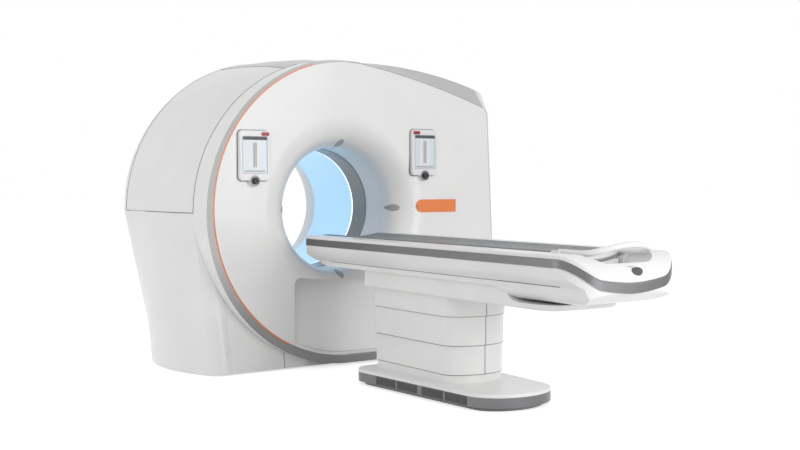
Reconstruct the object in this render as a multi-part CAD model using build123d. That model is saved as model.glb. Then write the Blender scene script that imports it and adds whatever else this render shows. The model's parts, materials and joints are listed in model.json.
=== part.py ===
from build123d import *
import os
from math import atan2, cos, radians, sin

# CT scanner: a ring gantry with a bore, and a patient table that feeds into it.
# Millimetres, +Z up. Y runs along the bore into the gantry and X to the right of someone facing it.
# The origin is on the floor under the middle of the bore, where the scan plane cuts the bore axis.

# Shared fits
WALL = 10
SEAM_GAP = 0.8
REST_GAP = 0.3
SLIDE_GAP = 0.6
RUN_GAP = 2
OVERRUN = 60
REACH = 4000

# Bore and tunnel
BORE_HEIGHT = 1017
BORE_RADIUS = 395
TUNNEL_RADIUS = 404
TUNNEL_WALL = 6
TUNNEL_FRONT_Y = -280
TUNNEL_REAR_Y = 257
BORE_RING_FRONT_Y = -457
LIGHT_RING_DEPTH = 10

# Front face of the gantry: round on the left, a squared shoulder on the right
FACE_Y = -857
FACE_SHOULDER_X = 1152
FACE_SHOULDER_Z = 680
FACE_CROWN = 24
FACE_FOOT_X = 1235
SHOULDER_CORNER = 70
SHOULDER_RING = 905
SHOULDER_STEP = 5
TOP_BREAK_ANGLE = 8
FUNNEL_MOUTH_RADIUS = 600
FUNNEL_THROAT_Y = -640
FUNNEL_SETBACK = 4

# Outer body, a little lower and wider than the face, growing towards the rear
BODY_DROP = 19
BODY_FLOOR_GAP = 13
BODY_RADIUS = BORE_HEIGHT - BODY_DROP - BODY_FLOOR_GAP
BAND_WIDTH = 40
FACE_RADIUS = BODY_RADIUS - BAND_WIDTH
BODY_SHOULDER_X = 1188
BODY_SHOULDER_Z = 800
BODY_CROWN = 45
BODY_FOOT_X = 1270
BAND_DEPTH = 24
BEVEL_DEPTH = 97
SKIRT_REAR_Y = -640
REAR_SEAM_Y = 300
REAR_Y = 480
BODY_GROWTH = 60
GROWTH_SHARES = (0, 0.5, 0.83, 1)
GROWTH_PLACE_SHARES = (0, 0.25, 0.6, 1)
REAR_ROUND = 80
REAR_ROUND_SHARES = (0, 0.3, 1)
REAR_PLACE_SHARES = (0, 0.6, 1)
REAR_MOUTH_RADIUS = 461
SIDE_SEAM_DROP = 17
SIDE_SEAM_Z = BORE_HEIGHT - SIDE_SEAM_DROP
TOP_SEAM_X = -250
ROOF_SEAM_X = -345
SHOULDER_SEAM_X = 1112
SHOULDER_SEAM_Z = 1500
COVER_FLOOR_GAP = 25
ACCENT_WIDTH = 8
ACCENT_PROUD = 2
ACCENT_TOP_ANGLE = 106
ACCENT_BOTTOM_ANGLE = 243

# Pedestal on the left, leaning in towards the floor
PEDESTAL_FLOOR_Z = 10
PEDESTAL_FRONT_Y = -785
PEDESTAL_CREASE_INSET = 67
PEDESTAL_CREASE_X = PEDESTAL_CREASE_INSET - BODY_RADIUS
PEDESTAL_CREASE_Y = -757
PEDESTAL_BULGE = 48
PEDESTAL_BULGE_X = -PEDESTAL_BULGE - BODY_RADIUS
PEDESTAL_BULGE_Y = -230
PEDESTAL_REAR_INSET = 145
PEDESTAL_REAR_X = PEDESTAL_REAR_INSET - BODY_RADIUS
PEDESTAL_TURN_LENGTH = 128
PEDESTAL_TURN_X = PEDESTAL_CREASE_X + PEDESTAL_TURN_LENGTH
PEDESTAL_TURN_BULGE = 14
PEDESTAL_SEAM_X = -430

# Dock panel, a tilted panel set back under the bore
DOCK_HALF_WIDTH = 398
DOCK_TOP_Z = -425
DOCK_SAG = 32
DOCK_BOTTOM_Z = -925
DOCK_CORNER = 45
DOCK_SETBACK = 150
DOCK_PLATE = 8
DOCK_GAP = 3

# Laser windows on the funnel lip
WINDOW_LENGTH = 50
WINDOW_WIDTH = 45
WINDOW_RADIUS = 426
WINDOW_PROUD = 3

# Control panels on the face
PANEL_X = 640
PANEL_SHIFT_X = -45
PANEL_Z = 353
PANEL_STEP_Z = 18
PANEL_WIDTH = 210
PANEL_HEIGHT = 308
PANEL_DEPTH = 28
PANEL_CORNER = 24
PANEL_EDGE = 5
SCREEN_WIDTH = 164
SCREEN_HEIGHT = 222
SCREEN_LIFT = 4
SCREEN_THICK = 4
SCREEN_SUNK = 2
DIAL_RADIUS = 20
DIAL_BOSS_RADIUS = 35
DIAL_DEPTH = 20
DIAL_SPIGOT_RADIUS = 9
DIAL_SPIGOT_LENGTH = 14
SPIGOT_GAP = 0.05
DIAL_FINGER_RADIUS = 6
STOP_WIDTH = 46
STOP_HEIGHT = 20
STOP_DEPTH = 16
STOP_INSET = 12
STOP_TRAVEL = 5
STOP_CORNER = 5

# Accent tab on the right of the bore
TAB_LEFT_X = 545
TAB_RIGHT_X = 874
TAB_LOW_Z = -31
TAB_HIGH_Z = 55
TAB_THICK = 4

# Gantry frame and rotor, inside the covers
FRAME_PLATE_Y = 60
FRAME_PLATE_DEPTH = 60
FRAME_BEAM_X = 700
FRAME_BEAM_WIDTH = 120
FRAME_BEAM_HEIGHT = 110
FRAME_BEAM_FRONT_Y = -560
FRAME_BEAM_REAR_Y = 270
CROSS_BEAM_HEIGHT = 80
ARM_WIDTH = 90
ARM_HEIGHT = 130
ARM_LOW_HEIGHT = -400
FOOT_RADIUS = 60
FOOT_HEIGHT = 22
FOOT_INSET = 80
LUG_LENGTH = 110
LUG_THICK = 24
ANCHOR_HOLE_RADIUS = 9
ANCHOR_SPACING_X = 1600
ANCHOR_SPACING_Y = 500
RACE_OUTER_RADIUS = 700
FRAME_WALL = 90
FRAME_HALF_WIDTH = RACE_OUTER_RADIUS + FRAME_WALL
RACE_MIDDLE_RADIUS = 645
RACE_INNER_RADIUS = 590
RACE_DEPTH = 60
DRUM_BORE_RADIUS = 432
DRUM_RADIUS = 850
DRUM_FRONT_Y = -40
DRUM_PLATE = 34
HUB_WALL = 34
SLIP_RING_BORE = 500
SLIP_RING_DEPTH = 36
STATOR_RADIUS = 735
STATOR_WALL = 30
MAGNET_WALL = 22
DRIVE_DEPTH = 44
TUBE_RADIUS = 105
TUBE_LENGTH = 320
TUBE_PLACE_RADIUS = 655
COLLIMATOR_WIDTH = 190
COLLIMATOR_LOW_RADIUS = 448
COLLIMATOR_DEPTH = 150
DETECTOR_INNER_RADIUS = 560
DETECTOR_OUTER_RADIUS = 700
DETECTOR_HALF_ANGLE = 31
DETECTOR_DEPTH = 190
UNIT_PLACE_RADIUS = 655
UNIT_RADIAL = 240
UNIT_WIDTH = 330
UNIT_DEPTH = 250
GENERATOR_ANGLE = 170
COOLER_ANGLE = 10

# Table boat: the fixed-length body that carries the sliding top, with a tail that falls away
BOAT_HALF_WIDTH = 360
BOAT_TIP_Y = -882
BOAT_RIM_Z = 856
BOAT_NOSE_CORNER = 80
BAND_DROP = 18
BAND_HEIGHT = 42
BAND_THICK = 8
BAND_PROUD = 3
BAND_SPLIT = 160
DECK_DEPTH = BAND_DROP + BAND_HEIGHT
BELLY_STEP = 2
SIDE_BULGE = 10
SEAM_HALF_WIDTH = 284
SEAM_Z = 702
STRIP_STEP = 7
STRIP_LOW_Z = 672
BOW_LENGTH = 190
TAIL_TIP_Y = -3368
TAIL_SAG = 22
TAIL_CORNER = 170
TAIL_FALL_Y = -3215
TAIL_FALL_RADIUS = 160
KEEL_START_Y = -2700
KEEL_Z = 612
KEEL_HALF_WIDTH = 170
KEEL_BULGE = 20
KEEL_RISE_Y = -3180
KEEL_RISE_LENGTH = 190
KEEL_RISE_HEIGHT = 88
DISH_START_Y = -3120
DISH_END_Y = -3334
DISH_HALF_WIDTH = 226
DISH_CORNER = 100
DISH_FLOOR_Z = 756
DISH_DRAFT = 46
INSET_Y = -3322
INSET_RADIUS_X = 52
INSET_RADIUS_Y = 20
INSET_DEPTH = 60
INSET_SUNK = 22

# Sliding cradle, its rails, pad and bow handle
CRADLE_HALF_WIDTH = 222
CRADLE_EDGE_Z = 846
CRADLE_SAG = 40
CRADLE_THICK = 10
CRADLE_FRONT_Y = -866
CRADLE_REAR_Y = -3085
CHANNEL_CLEAR = 4
RUNNER_X = 160
RUNNER_WIDTH = 24
RAIL_WIDTH = 30
RAIL_HEIGHT = 22
RAIL_FLOOR_Z = 776
PAD_HALF_WIDTH = 216
PAD_THICK = 12
PAD_MIDDLE_THICK = 18
PAD_FRONT_INSET = 6
PAD_REAR_INSET = 52
HANDLE_RADIUS = 15
HANDLE_HALF_WIDTH = 190
HANDLE_ROOT_Z = 857
HANDLE_BEND_Y = -3272
HANDLE_BEND_Z = 864
HANDLE_SHOULDER_Z = 888
HANDLE_SHOULDER_SHARE = 0.62
HANDLE_SWEEP_SHARE = 0.8
HANDLE_TOP_Y = -3352
HANDLE_TOP_Z = 901
CAP_LIFT = 4

# Column, undercarriage and lifting tubes
UNDER_FRONT_Y = -1440
UNDER_REAR_Y = -3075
UNDER_HALF_WIDTH = 250
UNDER_LOW_Z = 570
UNDER_CORNER = 120
UNDER_FALL_Y = -2735
UNDER_FALL_LENGTH = 170
UNDER_HEEL_Z = 600
UNDER_ROUND = 14
COLUMN_FRONT_Y = -1466
COLUMN_NOSE_Y = -2140
COLUMN_NOSE_LENGTH = 136
COLUMN_HALF_WIDTH = 214
COLUMN_CORNER = 32
COLUMN_ROOM_Z = 692
TIER_WALL = 6
TIER_LOW_Z = (458, 298, 138)
TIER_HEIGHTS = (112, 217, 207)
COLLAR_HEIGHT = 96
TUBE_STAGE_LENGTH = 280
TUBE_STAGE_WIDTH = 220
TUBE_STAGE_WALL = 12
TUBE_STAGE_Y = -1830
TUBE_LOW_HEIGHT = 232
TUBE_MIDDLE_LOW_Z = 282
TUBE_MIDDLE_HEIGHT = 222
TUBE_UPPER_LOW_Z = 462

# Table base on the floor, with foot pedals in its edge
BASE_FRONT_Y = -1400
BASE_TAPER_END_Y = -2440
BASE_NOSE_LENGTH = 200
BASE_FRONT_HALF = 332
BASE_REAR_HALF = 268
BASE_FRONT_CORNER = 120
BASE_FOOT_INSET = 42
BASE_EDGE_LOW_Z = 22
BASE_EDGE_HEIGHT = 54
BASE_EDGE_THICK = 10
BASE_TOP_THICK = 18
BASE_TOP_ROUND = 8
PEDAL_LENGTH = 172
PEDAL_HEIGHT = 46
PEDAL_THICK = 16
PEDAL_PROUD = 3
PEDAL_START = 262
PEDAL_PITCH = 194
PEDAL_PAIR_GAP = 26
PEDAL_COUNT = 4
TABLE_HOLE_X = 360
TABLE_HOLE_Y = 860
TABLE_HOLE_MIDDLE_Y = -1930

AXIS = Axis((0, 0, BORE_HEIGHT), (0, 1, 0))


def facing(y):
    """Plane across the bore axis at y, with local x along X and local y up from the axis."""
    return Plane(origin=(0, y, BORE_HEIGHT), x_dir=(1, 0, 0), z_dir=(0, -1, 0))


def along():
    """Plane through the bore axis, with local x as radius and local y along the axis."""
    return Plane(origin=(0, 0, BORE_HEIGHT), x_dir=(1, 0, 0), z_dir=(0, 0, 1))


def lengthwise():
    """Plane of symmetry, with local x along Y and local y up from the floor."""
    return Plane(origin=(0, 0, 0), x_dir=(0, 1, 0), z_dir=(1, 0, 0))


def across(y):
    """Plane across the table at y, with local x along X and local y up from the floor."""
    return Plane(origin=(0, y, 0), x_dir=(1, 0, 0), z_dir=(0, -1, 0))


def block(x, y, z):
    """Box between two limits along each axis."""
    size = [high - low for low, high in (x, y, z)]
    middle = [(high + low) / 2 for low, high in (x, y, z)]
    return Pos(*middle) * Box(*size)


def ring(inner, outer, front, rear):
    """Plain ring about the bore axis."""
    section = Polyline((inner, front), (outer, front), (outer, rear), (inner, rear), close=True)
    return revolve(along() * make_face(section), AXIS)


def turned(*edges):
    """Solid turned about the bore axis from edges given as radius and y."""
    return revolve(along() * make_face(Curve() + list(edges)), AXIS)


def sector(inner, outer, start, end, front, rear):
    """Part of a ring between two angles, measured from the right and up over the top."""
    angles = [radians(start), radians((start + end) / 2), radians(end)]
    outside = [(outer * cos(a), outer * sin(a)) for a in angles]
    inside = [(inner * cos(a), inner * sin(a)) for a in angles]
    edges = Curve() + [
        ThreePointArc(*outside),
        Line(outside[2], inside[2]),
        ThreePointArc(*reversed(inside)),
        Line(inside[0], outside[0]),
    ]
    return extrude(facing(front) * make_face(edges), amount=front - rear)


def outline(radius, drop, shoulder, crown, foot_x, grow=0):
    """Front outline: a round left half and a crowned top that runs out to a squared right shoulder.

    The outline keeps its form when it grows or shrinks all round.
    """
    reach = radius + grow
    angle = radians(TOP_BREAK_ANGLE)
    bottom = (0, -drop - reach)
    left = (-reach, -drop)
    top = (reach * sin(angle), reach * cos(angle) - drop)
    corner = (shoulder[0] + grow, shoulder[1] + grow)
    middle = ((top[0] + corner[0]) / 2, (top[1] + corner[1]) / 2 + crown)
    foot = (foot_x + grow, bottom[1])
    edges = Curve() + [
        ThreePointArc(bottom, left, top),
        ThreePointArc(top, middle, corner),
        Line(corner, foot),
        Line(foot, bottom),
    ]
    face = make_face(edges)
    return fillet(face.vertices().sort_by(Axis.X)[-2:], SHOULDER_CORNER + grow)


def face_outline(grow=0):
    """Outline of the front face."""
    shoulder = (FACE_SHOULDER_X, FACE_SHOULDER_Z)
    return outline(FACE_RADIUS, 0, shoulder, FACE_CROWN, FACE_FOOT_X, grow)


def body_outline(grow=0):
    """Outline of the body behind the face."""
    shoulder = (BODY_SHOULDER_X, BODY_SHOULDER_Z)
    return outline(BODY_RADIUS, BODY_DROP, shoulder, BODY_CROWN, BODY_FOOT_X, grow)


def growth_steps():
    """Pairs of y and growth along the side covers, from the skirt to the rear seam."""
    run = REAR_SEAM_Y - SKIRT_REAR_Y
    places = [SKIRT_REAR_Y + run * share for share in GROWTH_PLACE_SHARES]
    return list(zip(places, [BODY_GROWTH * share for share in GROWTH_SHARES]))


def shell(sections, inner_sections):
    """Hollow body lofted through outer sections, less the loft of the inner ones."""
    return loft(sections, ruled=True) - loft(inner_sections, ruled=True)


def body_sections(grow):
    """Sections of the round body from the skirt to the rear seam."""
    return [facing(y) * body_outline(step + grow) for y, step in growth_steps()]


def shoulder_shell():
    """Squared shoulder and right side, which start as a bevel at the edge of the face."""
    bevel_end = facing(FACE_Y + BEVEL_DEPTH)
    outer = [facing(FACE_Y) * face_outline(SHOULDER_STEP), bevel_end * body_outline()]
    around_face = face_outline(SEAM_GAP)
    inner = [
        facing(FACE_Y - OVERRUN) * around_face,
        facing(FACE_Y + BAND_DEPTH + WALL) * around_face,
        bevel_end * body_outline(-WALL),
    ]
    return shell(outer + body_sections(0), inner + body_sections(-WALL))


def lip(shrink):
    """Edges of the funnel from its mouth to its throat, moved towards the axis by shrink."""
    mouth = (FUNNEL_MOUTH_RADIUS - shrink, FACE_Y - shrink)
    throat = (BORE_RADIUS + FUNNEL_SETBACK - shrink, FUNNEL_THROAT_Y)
    arc = EllipticalCenterArc(
        (mouth[0], throat[1]), mouth[0] - throat[0], throat[1] - mouth[1], 180, arc_size=90
    )
    return arc, mouth, throat


def funnel_void():
    """The open mouth in front of and inside the funnel."""
    arc, mouth, throat = lip(0)
    front = FACE_Y - OVERRUN
    return turned(
        arc,
        Line(mouth, (mouth[0], front)),
        Line((mouth[0], front), (0, front)),
        Line((0, front), (0, BORE_RING_FRONT_Y)),
        Line((0, BORE_RING_FRONT_Y), (throat[0], BORE_RING_FRONT_Y)),
        Line((throat[0], BORE_RING_FRONT_Y), throat),
    )


def dock_outline(grow=0):
    """Outline of the dock panel seen from the front, with a sagging top edge."""
    half = DOCK_HALF_WIDTH + grow
    top = DOCK_TOP_Z + grow
    low = DOCK_BOTTOM_Z - grow
    edges = Curve() + [
        ThreePointArc((-half, top), (0, top - DOCK_SAG), (half, top)),
        Line((half, top), (half, low)),
        Line((half, low), (-half, low)),
        Line((-half, low), (-half, top)),
    ]
    face = make_face(edges)
    return fillet(face.vertices().sort_by(Axis.Y)[-2:], DOCK_CORNER)


def dock_wedge(depth, grow):
    """Space in front of the tilted dock plane, moved back by depth, within the dock outline."""
    slab = extrude(facing(FACE_Y - OVERRUN) * dock_outline(grow), amount=-REACH)
    slab &= extrude(facing(FACE_Y - OVERRUN) * face_outline(grow - 2 * WALL), amount=-REACH)
    low = BORE_HEIGHT + DOCK_BOTTOM_Z
    high = BORE_HEIGHT + DOCK_TOP_Z
    slope = DOCK_SETBACK / (high - low)
    top = high + OVERRUN
    bottom = low - OVERRUN
    profile = Polyline(
        (FACE_Y - REACH, bottom),
        (FACE_Y + depth - slope * OVERRUN, bottom),
        (FACE_Y + depth + slope * (top - low), top),
        (FACE_Y - REACH, top),
        close=True,
    )
    return slab & extrude(lengthwise() * make_face(profile), amount=REACH, both=True)


def plain_edge():
    """Space along the top and right of the face, where the bevelled covers meet it directly."""
    any_y = (-REACH, REACH)
    top = block((TOP_SEAM_X, REACH), any_y, (BORE_HEIGHT, REACH))
    return top + block((FACE_FOOT_X - SHOULDER_CORNER, REACH), any_y, (0, REACH))


def make_front_cover():
    """White front cover: face, funnel, dock recess and the rim that turns back round the left."""
    back = FACE_Y + BAND_DEPTH
    face = extrude(facing(FACE_Y) * face_outline(), amount=-(BAND_DEPTH + WALL))
    step = extrude(facing(FACE_Y) * face_outline(OVERRUN), amount=-SHOULDER_STEP)
    step -= ring(0, SHOULDER_RING, FACE_Y - OVERRUN, back)
    face -= step & block((0, REACH), (-REACH, REACH), (-REACH, REACH))
    flange = extrude(facing(back) * body_outline(-SEAM_GAP), amount=-WALL) - plain_edge()
    left = block((-REACH, TOP_SEAM_X), (-REACH, REACH), (0, REACH))
    rim = shell(
        [facing(back) * body_outline(), facing(SKIRT_REAR_Y) * body_outline()],
        [facing(back) * body_outline(-WALL), facing(SKIRT_REAR_Y) * body_outline(-WALL)],
    )
    rim &= left
    outside = FUNNEL_MOUTH_RADIUS + WALL
    throat = BORE_RADIUS + FUNNEL_SETBACK + WALL
    funnel = turned(
        Line((0, FACE_Y), (outside, FACE_Y)),
        Line((outside, FACE_Y), (outside, back)),
        Line((outside, back), (throat, FUNNEL_THROAT_Y)),
        Line((throat, FUNNEL_THROAT_Y), (throat, BORE_RING_FRONT_Y)),
        Line((throat, BORE_RING_FRONT_Y), (0, BORE_RING_FRONT_Y)),
        Line((0, BORE_RING_FRONT_Y), (0, FACE_Y)),
    )
    tray = dock_wedge(DOCK_PLATE + WALL, WALL) & block(
        (-REACH, REACH), (FACE_Y, REACH), (0, REACH)
    )
    tray -= turned(
        Line((0, FACE_Y), (throat, FACE_Y)),
        Line((throat, FACE_Y), (throat, REACH)),
        Line((throat, REACH), (0, REACH)),
        Line((0, REACH), (0, FACE_Y)),
    )
    cover = face + flange + rim + funnel + tray
    cover -= funnel_void()
    return cover - dock_wedge(DOCK_PLATE, 0)


def make_dock_panel():
    """Tilted plate that lies in the dock recess."""
    plate = dock_wedge(DOCK_PLATE, -DOCK_GAP) - dock_wedge(0, OVERRUN)
    return plate & block((-REACH, REACH), (FACE_Y, REACH), (0, REACH))


def make_trim_band(accent):
    """Grey crescent between the face and the wider body, round the left and along the bottom."""
    rear = FACE_Y + BAND_DEPTH
    outer = loft([facing(FACE_Y) * face_outline(WALL), facing(rear) * body_outline()], ruled=True)
    inner = extrude(facing(FACE_Y - OVERRUN) * face_outline(), amount=-REACH)
    band = outer - inner
    return band - plain_edge() - accent


def make_accent_strip():
    """Thin orange strip along the left edge of the face."""
    return sector(
        FACE_RADIUS,
        FACE_RADIUS + ACCENT_WIDTH,
        ACCENT_TOP_ANGLE,
        ACCENT_BOTTOM_ANGLE,
        FACE_Y - ACCENT_PROUD,
        FACE_Y + BAND_DEPTH / 2,
    )


def make_side_covers():
    """Covers of the round left, the grey top and the squared right, cut from two lofted shells."""
    round_body = shell(body_sections(0), body_sections(-WALL))
    square_body = shoulder_shell()
    any_y = (-REACH, REACH)
    left_end = ROOF_SEAM_X - SEAM_GAP
    roof = block((TOP_SEAM_X, SHOULDER_SEAM_X), any_y, (SHOULDER_SEAM_Z, REACH))
    behind_rim = (SKIRT_REAR_Y + SEAM_GAP, REACH)
    roof += block((ROOF_SEAM_X, TOP_SEAM_X), behind_rim, (SHOULDER_SEAM_Z, REACH))
    side = block((SHOULDER_SEAM_X + SEAM_GAP, REACH), any_y, (COVER_FLOOR_GAP + WALL, REACH))
    side -= block((0, FACE_FOOT_X - SHOULDER_CORNER + SEAM_GAP), any_y, (0, BORE_HEIGHT))
    above = block((-REACH, REACH), any_y, (SIDE_SEAM_Z, REACH))
    below = block((-REACH, REACH), any_y, (0, SIDE_SEAM_Z - SEAM_GAP))
    left = block((-REACH, left_end), behind_rim, (SIDE_SEAM_Z, REACH))
    right = square_body & side
    return {
        "upper_left_side_cover": round_body & left,
        "top_cover": square_body & roof,
        "upper_right_side_cover": right & above,
        "lower_right_side_cover": right & below,
    }


def wall_section(z, outer_edges, inner_edges):
    """Closed plan section of a thin wall at height z, from its outer and inner edges."""
    outer = Curve() + outer_edges
    inner = Curve() + inner_edges
    ends = [Line(outer @ 0, inner @ 0), Line(outer @ 1, inner @ 1)]
    return Pos(0, 0, z) * make_face(outer + inner + ends)


def make_lower_left_side_cover():
    """Left pedestal side: follows the round body at the seam and leans in towards the floor."""
    top_z = SIDE_SEAM_Z - SEAM_GAP
    drop = BODY_RADIUS

    def at_seam(inset):
        steps = growth_steps()
        middle = steps[2]
        start = (-drop + inset, SKIRT_REAR_Y + SEAM_GAP)
        passing = (-drop - middle[1] + inset, middle[0])
        return ThreePointArc(start, passing, (-drop - BODY_GROWTH + inset, REAR_SEAM_Y))

    def at_floor(inset):
        start = (PEDESTAL_CREASE_X + inset, PEDESTAL_CREASE_Y + SEAM_GAP)
        passing = (PEDESTAL_BULGE_X + inset, PEDESTAL_BULGE_Y)
        return ThreePointArc(start, passing, (PEDESTAL_REAR_X + inset, REAR_SEAM_Y))

    floor = wall_section(PEDESTAL_FLOOR_Z, [at_floor(0)], [at_floor(WALL)])
    seam = wall_section(top_z, [at_seam(0)], [at_seam(WALL)])
    cover = loft([floor, seam], ruled=True)
    rim = extrude(facing(FACE_Y) * body_outline(SEAM_GAP), amount=FACE_Y - SKIRT_REAR_Y)
    return cover - rim


def make_base_front_covers(side_cover):
    """Pedestal front under the trim band, in two pieces that meet at a vertical seam."""

    def run(front_y, turn_x, end, inset):
        start = (0, front_y + inset)
        turn = (turn_x + inset, front_y + inset)
        finish = (end[0] + inset, end[1] + inset)
        middle = (
            (turn[0] + finish[0]) / 2 - PEDESTAL_TURN_BULGE,
            (turn[1] + finish[1]) / 2 - PEDESTAL_TURN_BULGE,
        )
        return [Line(start, turn), ThreePointArc(turn, middle, finish)]

    foot_end = (PEDESTAL_CREASE_X, PEDESTAL_CREASE_Y)
    head_end = (-BODY_RADIUS + SEAM_GAP, SKIRT_REAR_Y)
    head_turn = PEDESTAL_TURN_X - (foot_end[0] - head_end[0])
    foot = wall_section(
        PEDESTAL_FLOOR_Z,
        run(PEDESTAL_FRONT_Y, PEDESTAL_TURN_X, foot_end, 0),
        run(PEDESTAL_FRONT_Y, PEDESTAL_TURN_X, foot_end, WALL),
    )
    head_front = SKIRT_REAR_Y - (foot_end[1] - PEDESTAL_FRONT_Y)
    head = wall_section(
        SIDE_SEAM_Z,
        run(head_front, head_turn, head_end, 0),
        run(head_front, head_turn, head_end, WALL),
    )
    front = loft([foot, head], ruled=True)
    front -= extrude(facing(FACE_Y - OVERRUN) * body_outline(SEAM_GAP), amount=-REACH)
    front -= side_cover
    depth = (-REACH, REACH)
    left = front & block((-REACH, PEDESTAL_SEAM_X - SEAM_GAP), depth, (0, REACH))
    right = front & block((PEDESTAL_SEAM_X, REACH), depth, (0, REACH))
    return {
        "base_front_left_cover": left.solids().sort_by(SortBy.VOLUME)[-1],
        "base_front_middle_cover": right.solids().sort_by(SortBy.VOLUME)[-1],
    }


def rear_outline(grow):
    """Outline of the rear cover: the body's outline with the leaning pedestal at its lower left."""
    reach = BODY_RADIUS + BODY_GROWTH + grow
    low = COVER_FLOOR_GAP - BORE_HEIGHT - grow
    angle = radians(TOP_BREAK_ANGLE)
    left = (-reach, -BODY_DROP)
    upper = (-reach * cos(angle), reach * sin(angle) - BODY_DROP)
    high = (-reach * sin(radians(45)), reach * cos(radians(45)) - BODY_DROP)
    top = (reach * sin(angle), reach * cos(angle) - BODY_DROP)
    corner = (BODY_SHOULDER_X + BODY_GROWTH + grow, BODY_SHOULDER_Z + BODY_GROWTH + grow)
    middle = ((top[0] + corner[0]) / 2, (top[1] + corner[1]) / 2 + BODY_CROWN)
    foot = (BODY_FOOT_X + BODY_GROWTH + grow, low)
    edges = Curve() + [
        Line(left, upper),
        ThreePointArc(upper, high, top),
        ThreePointArc(top, middle, corner),
        Line(corner, foot),
        Line(foot, (PEDESTAL_REAR_X - grow, low)),
        Line((PEDESTAL_REAR_X - grow, low), left),
    ]
    face = make_face(edges)
    return fillet(face.vertices().sort_by(Axis.X)[-2:], SHOULDER_CORNER + BODY_GROWTH + grow)


def make_rear_cover():
    """White rear cover with rounded shoulders and a flared mouth round the bore."""
    start = REAR_SEAM_Y + SEAM_GAP
    places = [start + (REAR_Y - start) * share for share in REAR_PLACE_SHARES]
    rounds = [-REAR_ROUND * share for share in REAR_ROUND_SHARES]
    inner_places = places[:-1] + [places[-1] - WALL]
    cover = shell(
        [facing(y) * rear_outline(grow) for y, grow in zip(places, rounds)],
        [facing(y) * rear_outline(grow - WALL) for y, grow in zip(inner_places, rounds)],
    )
    mouth = REAR_MOUTH_RADIUS
    throat = TUNNEL_RADIUS
    bend = ((mouth + throat) / 2 - FUNNEL_SETBACK, (TUNNEL_REAR_Y + REAR_Y) / 2)
    flare = turned(
        Line((0, TUNNEL_REAR_Y), (throat + WALL, TUNNEL_REAR_Y)),
        Line((throat + WALL, TUNNEL_REAR_Y), (mouth + WALL, REAR_Y)),
        Line((mouth + WALL, REAR_Y), (0, REAR_Y)),
        Line((0, REAR_Y), (0, TUNNEL_REAR_Y)),
    )
    opening = turned(
        Line((0, TUNNEL_REAR_Y), (throat, TUNNEL_REAR_Y)),
        ThreePointArc((throat, TUNNEL_REAR_Y), bend, (mouth, REAR_Y)),
        Line((mouth, REAR_Y), (0, REAR_Y)),
        Line((0, REAR_Y), (0, TUNNEL_REAR_Y)),
    )
    return cover + flare - opening


def make_laser_windows():
    """Four oval windows on the funnel lip, at the top, bottom and sides of the bore."""
    arc, mouth, throat = lip(REST_GAP)
    thin, near_mouth, near_throat = lip(WINDOW_PROUD)
    skin = turned(arc, Line(mouth, near_mouth), thin, Line(near_throat, throat))
    oval = facing(FACE_Y - OVERRUN) * Ellipse(WINDOW_LENGTH / 2, WINDOW_WIDTH / 2)
    oval = extrude(oval, amount=-FUNNEL_MOUTH_RADIUS)
    windows = []
    for turn in range(4):
        spot = Pos(WINDOW_RADIUS, 0, 0) * oval
        about = Rotation(0, 90 * turn, 0)
        windows.append(skin & (Pos(0, 0, BORE_HEIGHT) * about * Pos(0, 0, -BORE_HEIGHT) * spot))
    return Compound(children=[window.solids()[0] for window in windows])


def make_panel(side):
    """Control panel on one side of the face: housing, screen, jog dial and stop button."""
    front = FACE_Y - PANEL_DEPTH
    middle_x = side * PANEL_X + PANEL_SHIFT_X
    middle_z = PANEL_Z + side * PANEL_STEP_Z
    low = middle_z - PANEL_HEIGHT / 2

    def on_dial(radius):
        return Pos(middle_x, low) * Circle(radius)

    plate = Pos(middle_x, middle_z) * RectangleRounded(PANEL_WIDTH, PANEL_HEIGHT, PANEL_CORNER)
    housing = extrude(facing(FACE_Y) * (plate + on_dial(DIAL_BOSS_RADIUS)), amount=PANEL_DEPTH)
    housing = chamfer(housing.faces().sort_by(Axis.Y)[0].edges(), PANEL_EDGE)
    glass = Pos(middle_x, middle_z + SCREEN_LIFT) * Rectangle(SCREEN_WIDTH, SCREEN_HEIGHT)
    screen = extrude(facing(front + SCREEN_SUNK) * glass, amount=-SCREEN_THICK)
    housing -= extrude(facing(front) * glass, amount=-SCREEN_SUNK - SCREEN_THICK)
    bore = on_dial(DIAL_SPIGOT_RADIUS + SPIGOT_GAP)
    housing -= extrude(facing(front) * bore, amount=-DIAL_SPIGOT_LENGTH - RUN_GAP)
    back = front - SLIDE_GAP
    dial = extrude(facing(back) * on_dial(DIAL_RADIUS), amount=DIAL_DEPTH)
    dial = chamfer(dial.edges().group_by(Axis.Y)[0], DIAL_DEPTH / 4)
    dial -= extrude(facing(back - DIAL_DEPTH) * on_dial(DIAL_FINGER_RADIUS), amount=-DIAL_DEPTH / 3)
    dial += extrude(facing(back) * on_dial(DIAL_SPIGOT_RADIUS), amount=-DIAL_SPIGOT_LENGTH)
    stop_x = middle_x - side * (PANEL_WIDTH / 2 - STOP_INSET - STOP_WIDTH / 2)
    stop_z = middle_z + PANEL_HEIGHT / 2 - STOP_INSET - STOP_HEIGHT / 2
    cap = Pos(stop_x, stop_z) * RectangleRounded(STOP_WIDTH, STOP_HEIGHT, STOP_CORNER)
    pocket = Pos(stop_x, stop_z) * RectangleRounded(
        STOP_WIDTH + 2 * SLIDE_GAP, STOP_HEIGHT + 2 * SLIDE_GAP, STOP_CORNER + SLIDE_GAP
    )
    sunk = STOP_TRAVEL + RUN_GAP
    housing -= extrude(facing(front) * pocket, amount=-STOP_DEPTH / 2 - sunk)
    button = extrude(facing(front + STOP_DEPTH / 2) * cap, amount=STOP_DEPTH)
    name = "right" if side > 0 else "left"
    return {
        f"{name}_panel_housing": housing,
        f"{name}_panel_screen": screen,
        f"{name}_jog_dial": dial,
        f"{name}_stop_button": button,
    }


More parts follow.
